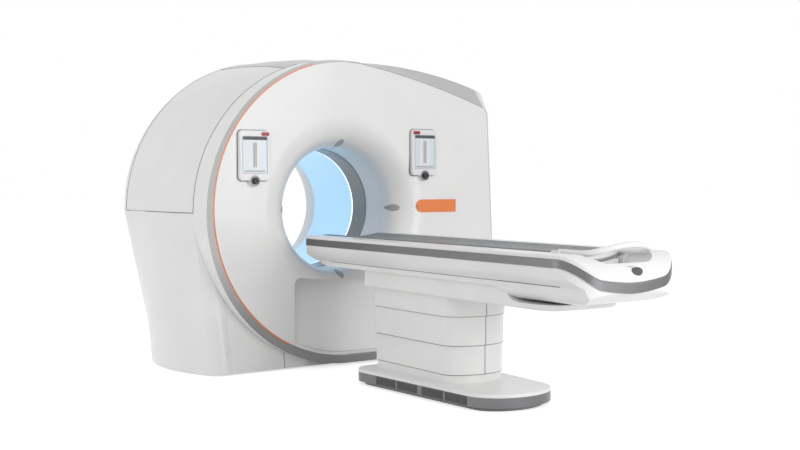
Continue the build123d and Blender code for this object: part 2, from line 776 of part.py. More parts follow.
def make_accent_tab():
    """Bare orange tab beside the bore, with a round left end."""
    height = TAB_HIGH_Z - TAB_LOW_Z
    round_x = TAB_LEFT_X + height / 2
    edges = Curve() + [
        ThreePointArc(
            (round_x, TAB_HIGH_Z), (TAB_LEFT_X, TAB_LOW_Z + height / 2), (round_x, TAB_LOW_Z)
        ),
        Line((round_x, TAB_LOW_Z), (TAB_RIGHT_X, TAB_LOW_Z)),
        Line((TAB_RIGHT_X, TAB_LOW_Z), (TAB_RIGHT_X, TAB_HIGH_Z)),
        Line((TAB_RIGHT_X, TAB_HIGH_Z), (round_x, TAB_HIGH_Z)),
    ]
    return extrude(facing(FACE_Y) * make_face(edges), amount=TAB_THICK)


def cover_arms():
    """Arms from the frame's arch out to the inside of the top, left and right covers."""
    inside = loft(body_sections(-WALL - REST_GAP), ruled=True)
    depth = (FRAME_PLATE_Y, FRAME_PLATE_Y + FRAME_PLATE_DEPTH)
    low = BORE_HEIGHT + ARM_LOW_HEIGHT
    root = RACE_OUTER_RADIUS + SEAM_GAP
    arms = block((-ARM_WIDTH / 2, ARM_WIDTH / 2), depth, (BORE_HEIGHT + root, REACH))
    arms += block((root, REACH), depth, (low, low + ARM_WIDTH))
    for side in (-1, 1):
        reach = sorted((side * root, side * REACH))
        high = BORE_HEIGHT + ARM_HEIGHT
        arms += block(reach, depth, (high, high + ARM_WIDTH))
    return arms & inside


def make_frame():
    """Welded stand: an arched plate round the bearing on floor beams, with lugs for floor anchors."""
    rear = FRAME_PLATE_Y + FRAME_PLATE_DEPTH
    low = FOOT_HEIGHT
    high = low + FRAME_BEAM_HEIGHT
    half = FRAME_BEAM_WIDTH / 2
    width = (-FRAME_HALF_WIDTH, FRAME_HALF_WIDTH)
    frame = block(width, (FRAME_PLATE_Y, rear), (low, BORE_HEIGHT))
    frame += ring(0, FRAME_HALF_WIDTH, FRAME_PLATE_Y, rear)
    frame += cover_arms()
    frame -= ring(0, RACE_OUTER_RADIUS, FRAME_PLATE_Y - OVERRUN, rear + OVERRUN)
    frame += block((-FRAME_BEAM_X, FRAME_BEAM_X), (-half, half), (low, low + CROSS_BEAM_HEIGHT))
    spots = [(0, 0)]
    for side in (-1, 1):
        middle = side * FRAME_BEAM_X
        beam = (middle - half, middle + half)
        frame += block(beam, (FRAME_BEAM_FRONT_Y, FRAME_BEAM_REAR_Y), (low, high))
        spots.append((middle, FRAME_BEAM_FRONT_Y + FOOT_INSET))
        spots.append((middle, FRAME_BEAM_REAR_Y - FOOT_INSET))
        for end in (-1, 1):
            hole_x = side * ANCHOR_SPACING_X / 2
            hole_y = (FRAME_BEAM_FRONT_Y + FRAME_BEAM_REAR_Y) / 2 + end * ANCHOR_SPACING_Y / 2
            lug = Box(LUG_LENGTH, LUG_LENGTH, LUG_THICK)
            frame += Pos(hole_x, hole_y, low + LUG_THICK / 2) * lug
            drill = Cylinder(ANCHOR_HOLE_RADIUS, 2 * LUG_THICK)
            frame -= Pos(hole_x, hole_y, low + LUG_THICK / 2) * drill
    foot = Cylinder(FOOT_RADIUS, FOOT_HEIGHT)
    feet = [Pos(x, y, FOOT_HEIGHT / 2) * foot for x, y in spots]
    return frame, Compound(children=feet)


def make_rotor():
    """Rotor: drum on the inner race, with tube, detector, generator and cooler round it."""
    back = DRUM_FRONT_Y + DRUM_PLATE
    race_end = FRAME_PLATE_Y + RACE_DEPTH
    drum = ring(DRUM_BORE_RADIUS, DRUM_RADIUS, DRUM_FRONT_Y, back)
    drum += ring(RACE_INNER_RADIUS - HUB_WALL, RACE_INNER_RADIUS, back, race_end)
    tube = Pos(0, DRUM_FRONT_Y - TUBE_LENGTH / 2, BORE_HEIGHT + TUBE_PLACE_RADIUS) * (
        Rotation(90, 0, 0) * Cylinder(TUBE_RADIUS, TUBE_LENGTH)
    )
    top = TUBE_PLACE_RADIUS - TUBE_RADIUS
    collimator = block(
        (-COLLIMATOR_WIDTH / 2, COLLIMATOR_WIDTH / 2),
        (DRUM_FRONT_Y - COLLIMATOR_DEPTH, DRUM_FRONT_Y),
        (BORE_HEIGHT + COLLIMATOR_LOW_RADIUS, BORE_HEIGHT + top),
    )
    detector = sector(
        DETECTOR_INNER_RADIUS,
        DETECTOR_OUTER_RADIUS,
        270 - DETECTOR_HALF_ANGLE,
        270 + DETECTOR_HALF_ANGLE,
        DRUM_FRONT_Y - DETECTOR_DEPTH,
        DRUM_FRONT_Y,
    )

    def unit(angle):
        middle = DRUM_FRONT_Y - UNIT_DEPTH / 2
        about = Pos(0, middle, BORE_HEIGHT) * Rotation(0, -angle, 0)
        return about * Pos(UNIT_PLACE_RADIUS, 0, 0) * Box(UNIT_RADIAL, UNIT_DEPTH, UNIT_WIDTH)

    return {
        "rotor_drum": drum,
        "bearing_inner_race": ring(
            RACE_INNER_RADIUS, RACE_MIDDLE_RADIUS - SLIDE_GAP, FRAME_PLATE_Y, race_end
        ),
        "slip_ring": ring(SLIP_RING_BORE, RACE_INNER_RADIUS, race_end, race_end + SLIP_RING_DEPTH),
        "drive_rotor": ring(
            STATOR_RADIUS + RUN_GAP, STATOR_RADIUS + RUN_GAP + MAGNET_WALL, back, back + DRIVE_DEPTH
        ),
        "xray_tube": tube,
        "collimator": collimator,
        "detector_array": detector,
        "high_voltage_generator": unit(GENERATOR_ANGLE),
        "heat_exchanger": unit(COOLER_ANGLE),
    }


def boat_plan(inset):
    """Plan outline of the boat: rounded corners at the tip and a blunt, rounder tail."""
    half = BOAT_HALF_WIDTH - inset
    tip = BOAT_TIP_Y - inset
    tail = TAIL_TIP_Y + inset
    edges = Curve() + [
        Line((-half, tip), (half, tip)),
        Line((half, tip), (half, tail + TAIL_SAG)),
        ThreePointArc((half, tail + TAIL_SAG), (0, tail), (-half, tail + TAIL_SAG)),
        Line((-half, tail + TAIL_SAG), (-half, tip)),
    ]
    face = make_face(edges)
    face = fillet(face.vertices().sort_by(Axis.Y)[:2], TAIL_CORNER - inset)
    return fillet(face.vertices().sort_by(Axis.Y)[-2:], BOAT_NOSE_CORNER - inset)


def crosswise(edges):
    """Solid across the whole width of the table from edges given as y and height."""
    return extrude(lengthwise() * make_face(Curve() + edges), amount=REACH, both=True)


def under_deck(drop):
    """Space under the deck's side line lowered by drop: level, then falling round at the tail."""
    high = BOAT_RIM_Z - drop
    fall = TAIL_FALL_RADIUS
    low = high - fall
    front = BOAT_TIP_Y + OVERRUN
    end = TAIL_FALL_Y - fall
    arc = EllipticalCenterArc((TAIL_FALL_Y, low), fall, fall, 90, arc_size=90)
    return crosswise([
        Line((front, high), (TAIL_FALL_Y, high)),
        arc,
        Line((end, low), (end, 0)),
        Line((end, 0), (front, 0)),
        Line((front, 0), (front, high)),
    ])


def channel(grow):
    """Section of the cradle's underside, open above, moved down by grow."""
    half = CRADLE_HALF_WIDTH + grow
    edge = CRADLE_EDGE_Z - grow
    top = CRADLE_EDGE_Z + REACH
    edges = Curve() + [
        ThreePointArc((-half, edge), (0, edge - CRADLE_SAG), (half, edge)),
        Line((half, edge), (half, top)),
        Line((half, top), (-half, top)),
        Line((-half, top), (-half, edge)),
    ]
    return make_face(edges)


def make_channel_cut():
    """Channel and rail grooves that the cradle runs in, open at the tip."""
    start = BOAT_TIP_Y + OVERRUN
    length = start - DISH_START_Y + OVERRUN
    cut = extrude(across(start) * channel(CHANNEL_CLEAR), amount=length)
    half = RAIL_WIDTH / 2
    for side in (-1, 1):
        middle = side * RUNNER_X
        cut += block(
            (middle - half, middle + half), (start - length, start), (RAIL_FLOOR_Z, BOAT_RIM_Z)
        )
    return cut


def belly_section(tail):
    """Section of the boat below its deck: the plain strip or, at the tail, a rounded keel."""
    top = BOAT_RIM_Z - DECK_DEPTH
    half = BOAT_HALF_WIDTH
    middle = ((half + SEAM_HALF_WIDTH) / 2 + SIDE_BULGE, (top + SEAM_Z) / 2 - SIDE_BULGE)
    deck = (half, BOAT_RIM_Z)
    side = [Line(deck, (half, top)), ThreePointArc((half, top), middle, (SEAM_HALF_WIDTH, SEAM_Z))]
    if tail:
        seam = (SEAM_HALF_WIDTH, SEAM_Z)
        turn = ((seam[0] + KEEL_HALF_WIDTH) / 2 + KEEL_BULGE, (SEAM_Z + KEEL_Z) / 2 - KEEL_BULGE)
        low = (KEEL_HALF_WIDTH, KEEL_Z)
        side.append(ThreePointArc(seam, turn, low))
    else:
        step = (SEAM_HALF_WIDTH - STRIP_STEP, SEAM_Z)
        low = (step[0], STRIP_LOW_Z)
        side += [Line((SEAM_HALF_WIDTH, SEAM_Z), step), Line(step, low)]
    bottom = (0, low[1])
    centre = (0, BOAT_RIM_Z)
    half_face = make_face(Curve() + side + [Line(low, bottom), Line(bottom, centre), Line(centre, deck)])
    return half_face + mirror(half_face, Plane.YZ)


def make_hull():
    """Deck with upright edges, over a belly that has a bow at the tip and a round keel at the tail."""
    deck = extrude(boat_plan(0), amount=BOAT_RIM_Z) & under_deck(0)
    deck -= under_deck(DECK_DEPTH)
    top = BOAT_RIM_Z - DECK_DEPTH
    front = BOAT_TIP_Y + OVERRUN
    bow_start = BOAT_TIP_Y - BOW_LENGTH
    rise = top - STRIP_LOW_Z
    bow = crosswise([
        EllipticalCenterArc((bow_start, top), BOW_LENGTH, rise, 270, arc_size=90),
        Line((BOAT_TIP_Y, top), (front, top)),
        Line((front, top), (front, STRIP_LOW_Z - OVERRUN)),
        Line((front, STRIP_LOW_Z - OVERRUN), (bow_start, STRIP_LOW_Z - OVERRUN)),
        Line((bow_start, STRIP_LOW_Z - OVERRUN), (bow_start, STRIP_LOW_Z)),
    ])
    middle = extrude(across(BOAT_TIP_Y) * belly_section(False), amount=BOAT_TIP_Y - KEEL_START_Y)
    keel = extrude(across(KEEL_START_Y) * belly_section(True), amount=KEEL_START_Y - TAIL_TIP_Y)
    heel_z = KEEL_Z + KEEL_RISE_HEIGHT
    heel_y = KEEL_RISE_Y - KEEL_RISE_LENGTH
    keel &= crosswise([
        EllipticalCenterArc(
            (KEEL_RISE_Y, heel_z), KEEL_RISE_LENGTH, KEEL_RISE_HEIGHT, 180, arc_size=90
        ),
        Line((KEEL_RISE_Y, KEEL_Z), (KEEL_START_Y, KEEL_Z)),
        Line((KEEL_START_Y, KEEL_Z), (KEEL_START_Y, BOAT_RIM_Z)),
        Line((KEEL_START_Y, BOAT_RIM_Z), (heel_y, BOAT_RIM_Z)),
        Line((heel_y, BOAT_RIM_Z), (heel_y, heel_z)),
    ])
    belly = (middle - bow + keel) & extrude(boat_plan(BELLY_STEP), amount=BOAT_RIM_Z)
    return deck + (belly & under_deck(DECK_DEPTH / 2))


def dish_plan(inset):
    """Plan outline of the hand dish in the tail, under the bow handle."""
    half = DISH_HALF_WIDTH - inset
    start = DISH_START_Y
    end = DISH_END_Y + inset / 2
    points = [(-half, start), (half, start), (half, end), (-half, end)]
    face = make_face(Polyline(*points, close=True))
    return fillet(face.vertices().sort_by(Axis.Y)[:2], DISH_CORNER - inset / 2)


def make_dish():
    """Space of the hand dish, narrowing towards its floor."""
    high = BOAT_RIM_Z + SEAM_GAP
    return loft(
        [Pos(0, 0, DISH_FLOOR_Z) * dish_plan(DISH_DRAFT), Pos(0, 0, high) * dish_plan(0)], ruled=True
    )


def make_boat(cut, rail, under):
    """White lower body of the table, cut for the cradle, the dish, the column and its own trim."""
    room = Pos(0, 0, UNDER_LOW_Z) * extrude(column_plan(TIER_WALL), amount=COLUMN_ROOM_Z - UNDER_LOW_Z)
    oval = Pos(0, INSET_Y, 0) * Ellipse(INSET_RADIUS_X, INSET_RADIUS_Y)
    pocket = Pos(0, 0, DISH_FLOOR_Z - INSET_DEPTH) * extrude(oval, amount=INSET_DEPTH + BAND_HEIGHT)
    return make_hull() - cut - make_dish() - room - pocket - rail - under


def make_tail_inset():
    """Dark oval floor of the hole in the rim of the tail."""
    oval = Pos(0, INSET_Y, 0) * Ellipse(INSET_RADIUS_X, INSET_RADIUS_Y)
    return Pos(0, 0, DISH_FLOOR_Z - INSET_DEPTH) * extrude(oval, amount=INSET_DEPTH - INSET_SUNK)


def make_side_rail(cut):
    """Silver band along both sides and round the tail, falling with it; open at the tip."""
    band = extrude(boat_plan(-BAND_PROUD) - boat_plan(BAND_THICK), amount=BOAT_RIM_Z)
    band &= under_deck(BAND_DROP) - under_deck(DECK_DEPTH - SEAM_GAP)
    band -= block(
        (-BAND_SPLIT, BAND_SPLIT), (BOAT_TIP_Y - OVERRUN, BOAT_TIP_Y + OVERRUN), (0, REACH)
    )
    return band - cut


def make_cradle():
    """Thin trough that carries the patient, on two runners, with its bow handle at the foot end."""
    length = CRADLE_FRONT_Y - CRADLE_REAR_Y
    trough = channel(0) - Pos(0, CRADLE_THICK) * channel(0)
    trough &= Pos(0, CRADLE_EDGE_Z - REACH / 2 + CRADLE_THICK / 2) * Rectangle(REACH, REACH)
    cradle = extrude(across(CRADLE_FRONT_Y) * trough, amount=length)
    half = RUNNER_WIDTH / 2
    low = RAIL_FLOOR_Z + RAIL_HEIGHT + SLIDE_GAP
    under = extrude(across(CRADLE_FRONT_Y) * channel(0), amount=length)
    for side in (-1, 1):
        middle = side * RUNNER_X
        runner = block(
            (middle - half, middle + half), (CRADLE_REAR_Y, CRADLE_FRONT_Y), (low, CRADLE_EDGE_Z)
        )
        cradle += runner - under
    return cradle


def make_rails():
    """Two rails in the boat that the cradle's runners slide on."""
    half = RAIL_WIDTH / 2
    rails = []
    for side in (-1, 1):
        middle = side * RUNNER_X
        rails.append(
            block(
                (middle - half, middle + half),
                (CRADLE_REAR_Y - CHANNEL_CLEAR, BOAT_TIP_Y - BOAT_NOSE_CORNER),
                (RAIL_FLOOR_Z, RAIL_FLOOR_Z + RAIL_HEIGHT),
            )
        )
    return Compound(children=rails)


def make_pad():
    """Concave pad that lies in the cradle."""
    share = PAD_HALF_WIDTH / CRADLE_HALF_WIDTH
    low = CRADLE_EDGE_Z + CRADLE_THICK / 2 + REST_GAP
    seat = CRADLE_EDGE_Z - CRADLE_SAG + CRADLE_THICK + REST_GAP
    high = low + PAD_THICK
    half = PAD_HALF_WIDTH
    edge = seat + (low - seat) * share * share + CRADLE_THICK / 2
    edges = Curve() + [
        ThreePointArc((-half, edge), (0, seat), (half, edge)),
        Line((half, edge), (half, high)),
        ThreePointArc((half, high), (0, seat + PAD_MIDDLE_THICK), (-half, high)),
        Line((-half, high), (-half, edge)),
    ]
    start = CRADLE_FRONT_Y - PAD_FRONT_INSET
    length = start - (CRADLE_REAR_Y + PAD_REAR_INSET)
    return extrude(across(start) * make_face(edges), amount=length)


def make_handle(cradle, pad):
    """Foot end of the cradle: a cap behind the pad, two arms and a bar that arches across."""
    half = HANDLE_HALF_WIDTH
    root_y = CRADLE_REAR_Y + PAD_REAR_INSET / 2
    bend = half * HANDLE_SHOULDER_SHARE
    shoulder_y = HANDLE_BEND_Y + (HANDLE_TOP_Y - HANDLE_BEND_Y) * HANDLE_SWEEP_SHARE
    left = [
        (-half, root_y, HANDLE_ROOT_Z),
        (-half, (root_y + HANDLE_BEND_Y) / 2, HANDLE_ROOT_Z),
        (-half, HANDLE_BEND_Y, HANDLE_BEND_Z),
        (-bend, shoulder_y, HANDLE_SHOULDER_Z),
    ]
    right = [(-x, y, z) for x, y, z in reversed(left)]
    path = Spline(*left, (0, HANDLE_TOP_Y, HANDLE_TOP_Z), *right)
    bar = sweep(Plane(origin=path @ 0, z_dir=path % 0) * Circle(HANDLE_RADIUS), path=path)
    cap_start = CRADLE_REAR_Y + PAD_REAR_INSET - REST_GAP
    section = channel(0) - Pos(0, CRADLE_THICK + PAD_THICK) * channel(0)
    high = CRADLE_EDGE_Z + CRADLE_THICK / 2 + PAD_THICK + CAP_LIFT
    section &= Pos(0, high - REACH / 2) * Rectangle(REACH, REACH)
    cap = extrude(across(cap_start) * section, amount=cap_start - CRADLE_REAR_Y)
    return cap + bar - cradle - pad


def column_plan(inset):
    """Plan outline of a column tier: straight sides and an oval nose at the foot end."""
    half = COLUMN_HALF_WIDTH - inset
    front = COLUMN_FRONT_Y - inset
    nose = COLUMN_NOSE_LENGTH - inset
    edges = Curve() + [
        EllipticalCenterArc((0, COLUMN_NOSE_Y), half, nose, 180, arc_size=180),
        Line((half, COLUMN_NOSE_Y), (half, front)),
        Line((half, front), (-half, front)),
        Line((-half, front), (-half, COLUMN_NOSE_Y)),
    ]
    face = make_face(edges)
    return fillet(face.vertices().sort_by(Axis.Y)[-2:], COLUMN_CORNER - inset)


def make_tier(number, low, height):
    """Column cover number, counted from the outside in, open above and below."""
    inset = number * (TIER_WALL + SLIDE_GAP)
    plan = column_plan(inset) - column_plan(inset + TIER_WALL)
    return Pos(0, 0, low) * extrude(plan, amount=height)


def make_undercarriage():
    """Fairing between the boat and the column: open for the column, with a heel under the tail."""
    plan = make_face(
        Polyline(
            (-UNDER_HALF_WIDTH, UNDER_FRONT_Y),
            (UNDER_HALF_WIDTH, UNDER_FRONT_Y),
            (UNDER_HALF_WIDTH, UNDER_REAR_Y),
            (-UNDER_HALF_WIDTH, UNDER_REAR_Y),
            close=True,
        )
    )
    plan = fillet(plan.vertices().sort_by(Axis.Y)[:2], UNDER_CORNER)
    fairing = Pos(0, 0, UNDER_LOW_Z) * extrude(plan, amount=STRIP_LOW_Z - UNDER_LOW_Z)
    heel = UNDER_FALL_Y - UNDER_FALL_LENGTH
    end = UNDER_REAR_Y - OVERRUN
    high = STRIP_LOW_Z + OVERRUN
    fairing -= crosswise([
        Spline(
            (UNDER_FALL_Y, STRIP_LOW_Z),
            (heel, UNDER_HEEL_Z),
            tangents=((0, -1), (-1, 0)),
        ),
        Line((heel, UNDER_HEEL_Z), (end, UNDER_HEEL_Z)),
        Line((end, UNDER_HEEL_Z), (end, high)),
        Line((end, high), (UNDER_FALL_Y, high)),
        Line((UNDER_FALL_Y, high), (UNDER_FALL_Y, STRIP_LOW_Z)),
    ])
    fairing = fillet(fairing.faces().sort_by(Axis.Z)[0].outer_wire().edges(), UNDER_ROUND)
    room = extrude(column_plan(TIER_WALL), amount=STRIP_LOW_Z)
    return fairing - room


def stage(number, low, height):
    """Lifting tube number, counted from the outside in."""
    inset = 2 * number * (TUBE_STAGE_WALL + SLIDE_GAP)
    length = TUBE_STAGE_LENGTH - inset
    width = TUBE_STAGE_WIDTH - inset
    hole = Rectangle(width - 2 * TUBE_STAGE_WALL, length - 2 * TUBE_STAGE_WALL)
    tube = extrude(Rectangle(width, length) - hole, amount=height)
    return Pos(0, TUBE_STAGE_Y, low) * tube


def base_plan(inset):
    """Plan outline of the table base: wide at the gantry end, tapering to an oval foot end."""
    front = BASE_FRONT_HALF - inset
    rear = BASE_REAR_HALF - inset
    edges = Curve() + [
        EllipticalCenterArc((0, BASE_TAPER_END_Y), rear, BASE_NOSE_LENGTH - inset, 180, arc_size=180),
        Line((rear, BASE_TAPER_END_Y), (front, BASE_FRONT_Y - inset)),
        Line((front, BASE_FRONT_Y - inset), (-front, BASE_FRONT_Y - inset)),
        Line((-front, BASE_FRONT_Y - inset), (-rear, BASE_TAPER_END_Y)),
    ]
    face = make_face(edges)
    return fillet(face.vertices().sort_by(Axis.Y)[-2:], BASE_FRONT_CORNER - inset)


def pedal_plane(number):
    """Plane of one pedal on the left edge: local x runs along the edge, local y up."""
    slope = atan2(BASE_FRONT_HALF - BASE_REAR_HALF, BASE_FRONT_Y - BASE_TAPER_END_Y)
    pair = number // 2
    place = PEDAL_START + PEDAL_LENGTH / 2 + number * PEDAL_PITCH + pair * PEDAL_PAIR_GAP
    x = -BASE_FRONT_HALF + place * sin(slope)
    y = BASE_FRONT_Y - place * cos(slope)
    z = BASE_EDGE_LOW_Z + BASE_EDGE_HEIGHT / 2
    return Plane(origin=(x, y, z), x_dir=(sin(slope), -cos(slope), 0), z_dir=(-cos(slope), -sin(slope), 0))


def make_base():
    """Table base: floor plate, silver edge with pedal slots, white top, and the pedals."""
    edge_top = BASE_EDGE_LOW_Z + BASE_EDGE_HEIGHT
    plate = extrude(base_plan(BASE_FOOT_INSET), amount=edge_top)
    for x in (-TABLE_HOLE_X / 2, TABLE_HOLE_X / 2):
        for y in (-TABLE_HOLE_Y / 2, TABLE_HOLE_Y / 2):
            drill = Cylinder(ANCHOR_HOLE_RADIUS, edge_top + OVERRUN)
            plate -= Pos(x, TABLE_HOLE_MIDDLE_Y + y, edge_top / 2) * drill
    edge = base_plan(0) - base_plan(BASE_EDGE_THICK)
    band = Pos(0, 0, BASE_EDGE_LOW_Z) * extrude(edge, amount=BASE_EDGE_HEIGHT)
    lid = Pos(0, 0, edge_top) * extrude(base_plan(0), amount=BASE_TOP_THICK)
    lid = fillet(lid.faces().sort_by(Axis.Z)[-1].edges(), BASE_TOP_ROUND)
    shaft = Box(TUBE_STAGE_WIDTH, TUBE_STAGE_LENGTH, REACH)
    lid -= Pos(0, TUBE_STAGE_Y, 0) * shaft
    pieces = {}
    gap = 2 * SLIDE_GAP
    for number in range(PEDAL_COUNT):
        plane = pedal_plane(number)
        slot = Box(PEDAL_LENGTH + gap, PEDAL_HEIGHT + gap, 2 * BASE_FOOT_INSET)
        band -= plane * slot
        sunk = PEDAL_PROUD - PEDAL_THICK / 2
        pedal = Box(PEDAL_LENGTH, PEDAL_HEIGHT, PEDAL_THICK)
        pieces[f"foot_pedal_{number + 1}"] = plane * Pos(0, 0, sunk) * pedal
    pieces.update({"table_base_plate": plate, "base_edge_band": band, "base_top_cover": lid})
    return pieces


def make_gantry():
    """Every piece of the gantry by name."""
    accent = make_accent_strip()
    side_cover = make_lower_left_side_cover()
    frame, feet = make_frame()
    race_end = FRAME_PLATE_Y + RACE_DEPTH
    light_front = TUNNEL_FRONT_Y - LIGHT_RING_DEPTH
    pieces = {
        "front_cover": make_front_cover(),
        "front_trim_band": make_trim_band(accent),
        "accent_strip": accent,
        "dock_panel": make_dock_panel(),
        "lower_left_side_cover": side_cover,
        "rear_cover": make_rear_cover(),
        "tunnel_liner": ring(
            TUNNEL_RADIUS, TUNNEL_RADIUS + TUNNEL_WALL, TUNNEL_FRONT_Y, TUNNEL_REAR_Y
        ),
        "bore_light_ring": ring(BORE_RADIUS, TUNNEL_RADIUS + TUNNEL_WALL, light_front, TUNNEL_FRONT_Y),
        "bore_trim_ring": ring(
            BORE_RADIUS, TUNNEL_RADIUS + TUNNEL_WALL, BORE_RING_FRONT_Y, light_front
        ),
        "laser_windows": make_laser_windows(),
        "accent_tab": make_accent_tab(),
        "gantry_frame": frame,
        "gantry_feet": feet,
        "bearing_outer_race": ring(RACE_MIDDLE_RADIUS, RACE_OUTER_RADIUS, FRAME_PLATE_Y, race_end),
        "drive_stator": ring(
            STATOR_RADIUS - STATOR_WALL, STATOR_RADIUS, FRAME_PLATE_Y - DRIVE_DEPTH, FRAME_PLATE_Y
        ),
    }
    pieces.update(make_side_covers())
    pieces.update(make_base_front_covers(side_cover))
    for side in (-1, 1):
        pieces.update(make_panel(side))
    pieces.update(make_rotor())
    return pieces


def make_table():
    """Every piece of the patient table by name."""
    cut = make_channel_cut()
    rail = make_side_rail(cut)
    under = make_undercarriage()
    base_top = BASE_EDGE_LOW_Z + BASE_EDGE_HEIGHT + BASE_TOP_THICK
    cradle = make_cradle()
    pad = make_pad()
    pieces = {
        "table_boat": make_boat(cut, rail, under),
        "table_side_rail": rail,
        "tail_inset": make_tail_inset(),
        "cradle": cradle,
        "cradle_rails": make_rails(),
        "cradle_pad": pad,
        "cradle_handle": make_handle(cradle, pad),
        "undercarriage": under,
        "column_collar": make_tier(3, base_top, COLLAR_HEIGHT),
        "lift_tube_lower": stage(0, base_top - BASE_TOP_THICK, BASE_TOP_THICK + TUBE_LOW_HEIGHT),
        "lift_tube_middle": stage(1, TUBE_MIDDLE_LOW_Z, TUBE_MIDDLE_HEIGHT),
        "lift_tube_upper": stage(2, TUBE_UPPER_LOW_Z, COLUMN_ROOM_Z - TUBE_UPPER_LOW_Z),
    }
    names = ("column_cover_top", "column_cover_middle", "column_cover_low")
    for number, (name, low, height) in enumerate(zip(names, TIER_LOW_Z, TIER_HEIGHTS)):
        pieces[name] = make_tier(number, low, height)
    pieces.update(make_base())
    return pieces


os.makedirs("parts", exist_ok=True)
for name, piece in {**make_gantry(), **make_table()}.items():
    export_step(piece, f"parts/{name}.step")
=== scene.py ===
import json
import logging
import math
from dataclasses import dataclass
from enum import Enum

import bmesh
import bpy
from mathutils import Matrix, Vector


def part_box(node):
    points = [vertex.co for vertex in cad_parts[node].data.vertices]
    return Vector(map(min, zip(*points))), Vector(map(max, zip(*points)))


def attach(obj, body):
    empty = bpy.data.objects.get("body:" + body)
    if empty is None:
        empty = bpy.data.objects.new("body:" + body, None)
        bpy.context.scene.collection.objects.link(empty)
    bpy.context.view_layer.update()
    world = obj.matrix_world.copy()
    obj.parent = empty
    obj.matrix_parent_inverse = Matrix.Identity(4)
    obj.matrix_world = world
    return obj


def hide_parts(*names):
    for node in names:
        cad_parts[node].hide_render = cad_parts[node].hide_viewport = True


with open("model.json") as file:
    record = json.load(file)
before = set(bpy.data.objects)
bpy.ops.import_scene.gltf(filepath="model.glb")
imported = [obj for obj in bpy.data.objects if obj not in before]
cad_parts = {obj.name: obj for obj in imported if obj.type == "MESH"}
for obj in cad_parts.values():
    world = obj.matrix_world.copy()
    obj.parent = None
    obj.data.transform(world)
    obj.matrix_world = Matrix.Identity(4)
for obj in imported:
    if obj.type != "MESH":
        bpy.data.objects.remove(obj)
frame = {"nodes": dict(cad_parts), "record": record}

LOG = logging.getLogger("ct_scanner")
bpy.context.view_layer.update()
Point = tuple[float, float, float]
Colour = tuple[float, float, float]
Flat = tuple[float, float]
WHITE: Colour = (1.0, 1.0, 1.0)


class Slot(Enum):
    """Material slots of the record that the scene's own pieces use."""

    TRIM = "trim_grey"
    SILVER = "silver"
    PANEL = "panel_white"
    DIAL = "dial_black"
    PAD = "pad_grey"
    PEDAL = "pedal_grey"
    SEAM = "inset_dark"
    UNIT = "unit_grey"


def placed(name: str, data: bpy.types.ID) -> bpy.types.Object:
    """Put a new object into the scene.

    Args:
        name: Name of the object.
        data: Its mesh, camera or lamp.

    Returns:
        The object, at the origin.
    """
    thing = bpy.data.objects.new(name, data)
    bpy.context.scene.collection.objects.link(thing)
    return thing


def baked(carrier: bpy.types.Object) -> bpy.types.Mesh:
    """Mesh of an object with its modifiers applied; the object itself goes.

    Args:
        carrier: Object that holds the modifiers.

    Returns:
        The new mesh.
    """
    depsgraph = bpy.context.evaluated_depsgraph_get()
    mesh = bpy.data.meshes.new_from_object(carrier.evaluated_get(depsgraph))
    bpy.data.objects.remove(carrier)
    return mesh


def aim(thing: bpy.types.Object, direction: Vector) -> None:
    """Turn a camera or a lamp towards a direction."""
    thing.rotation_mode = "QUATERNION"
    thing.rotation_quaternion = direction.to_track_quat("-Z", "Y")


def shade(colour: Colour, factor: float) -> Colour:
    """A colour made lighter or darker by a factor."""
    return tuple(min(1.0, channel * factor) for channel in colour)


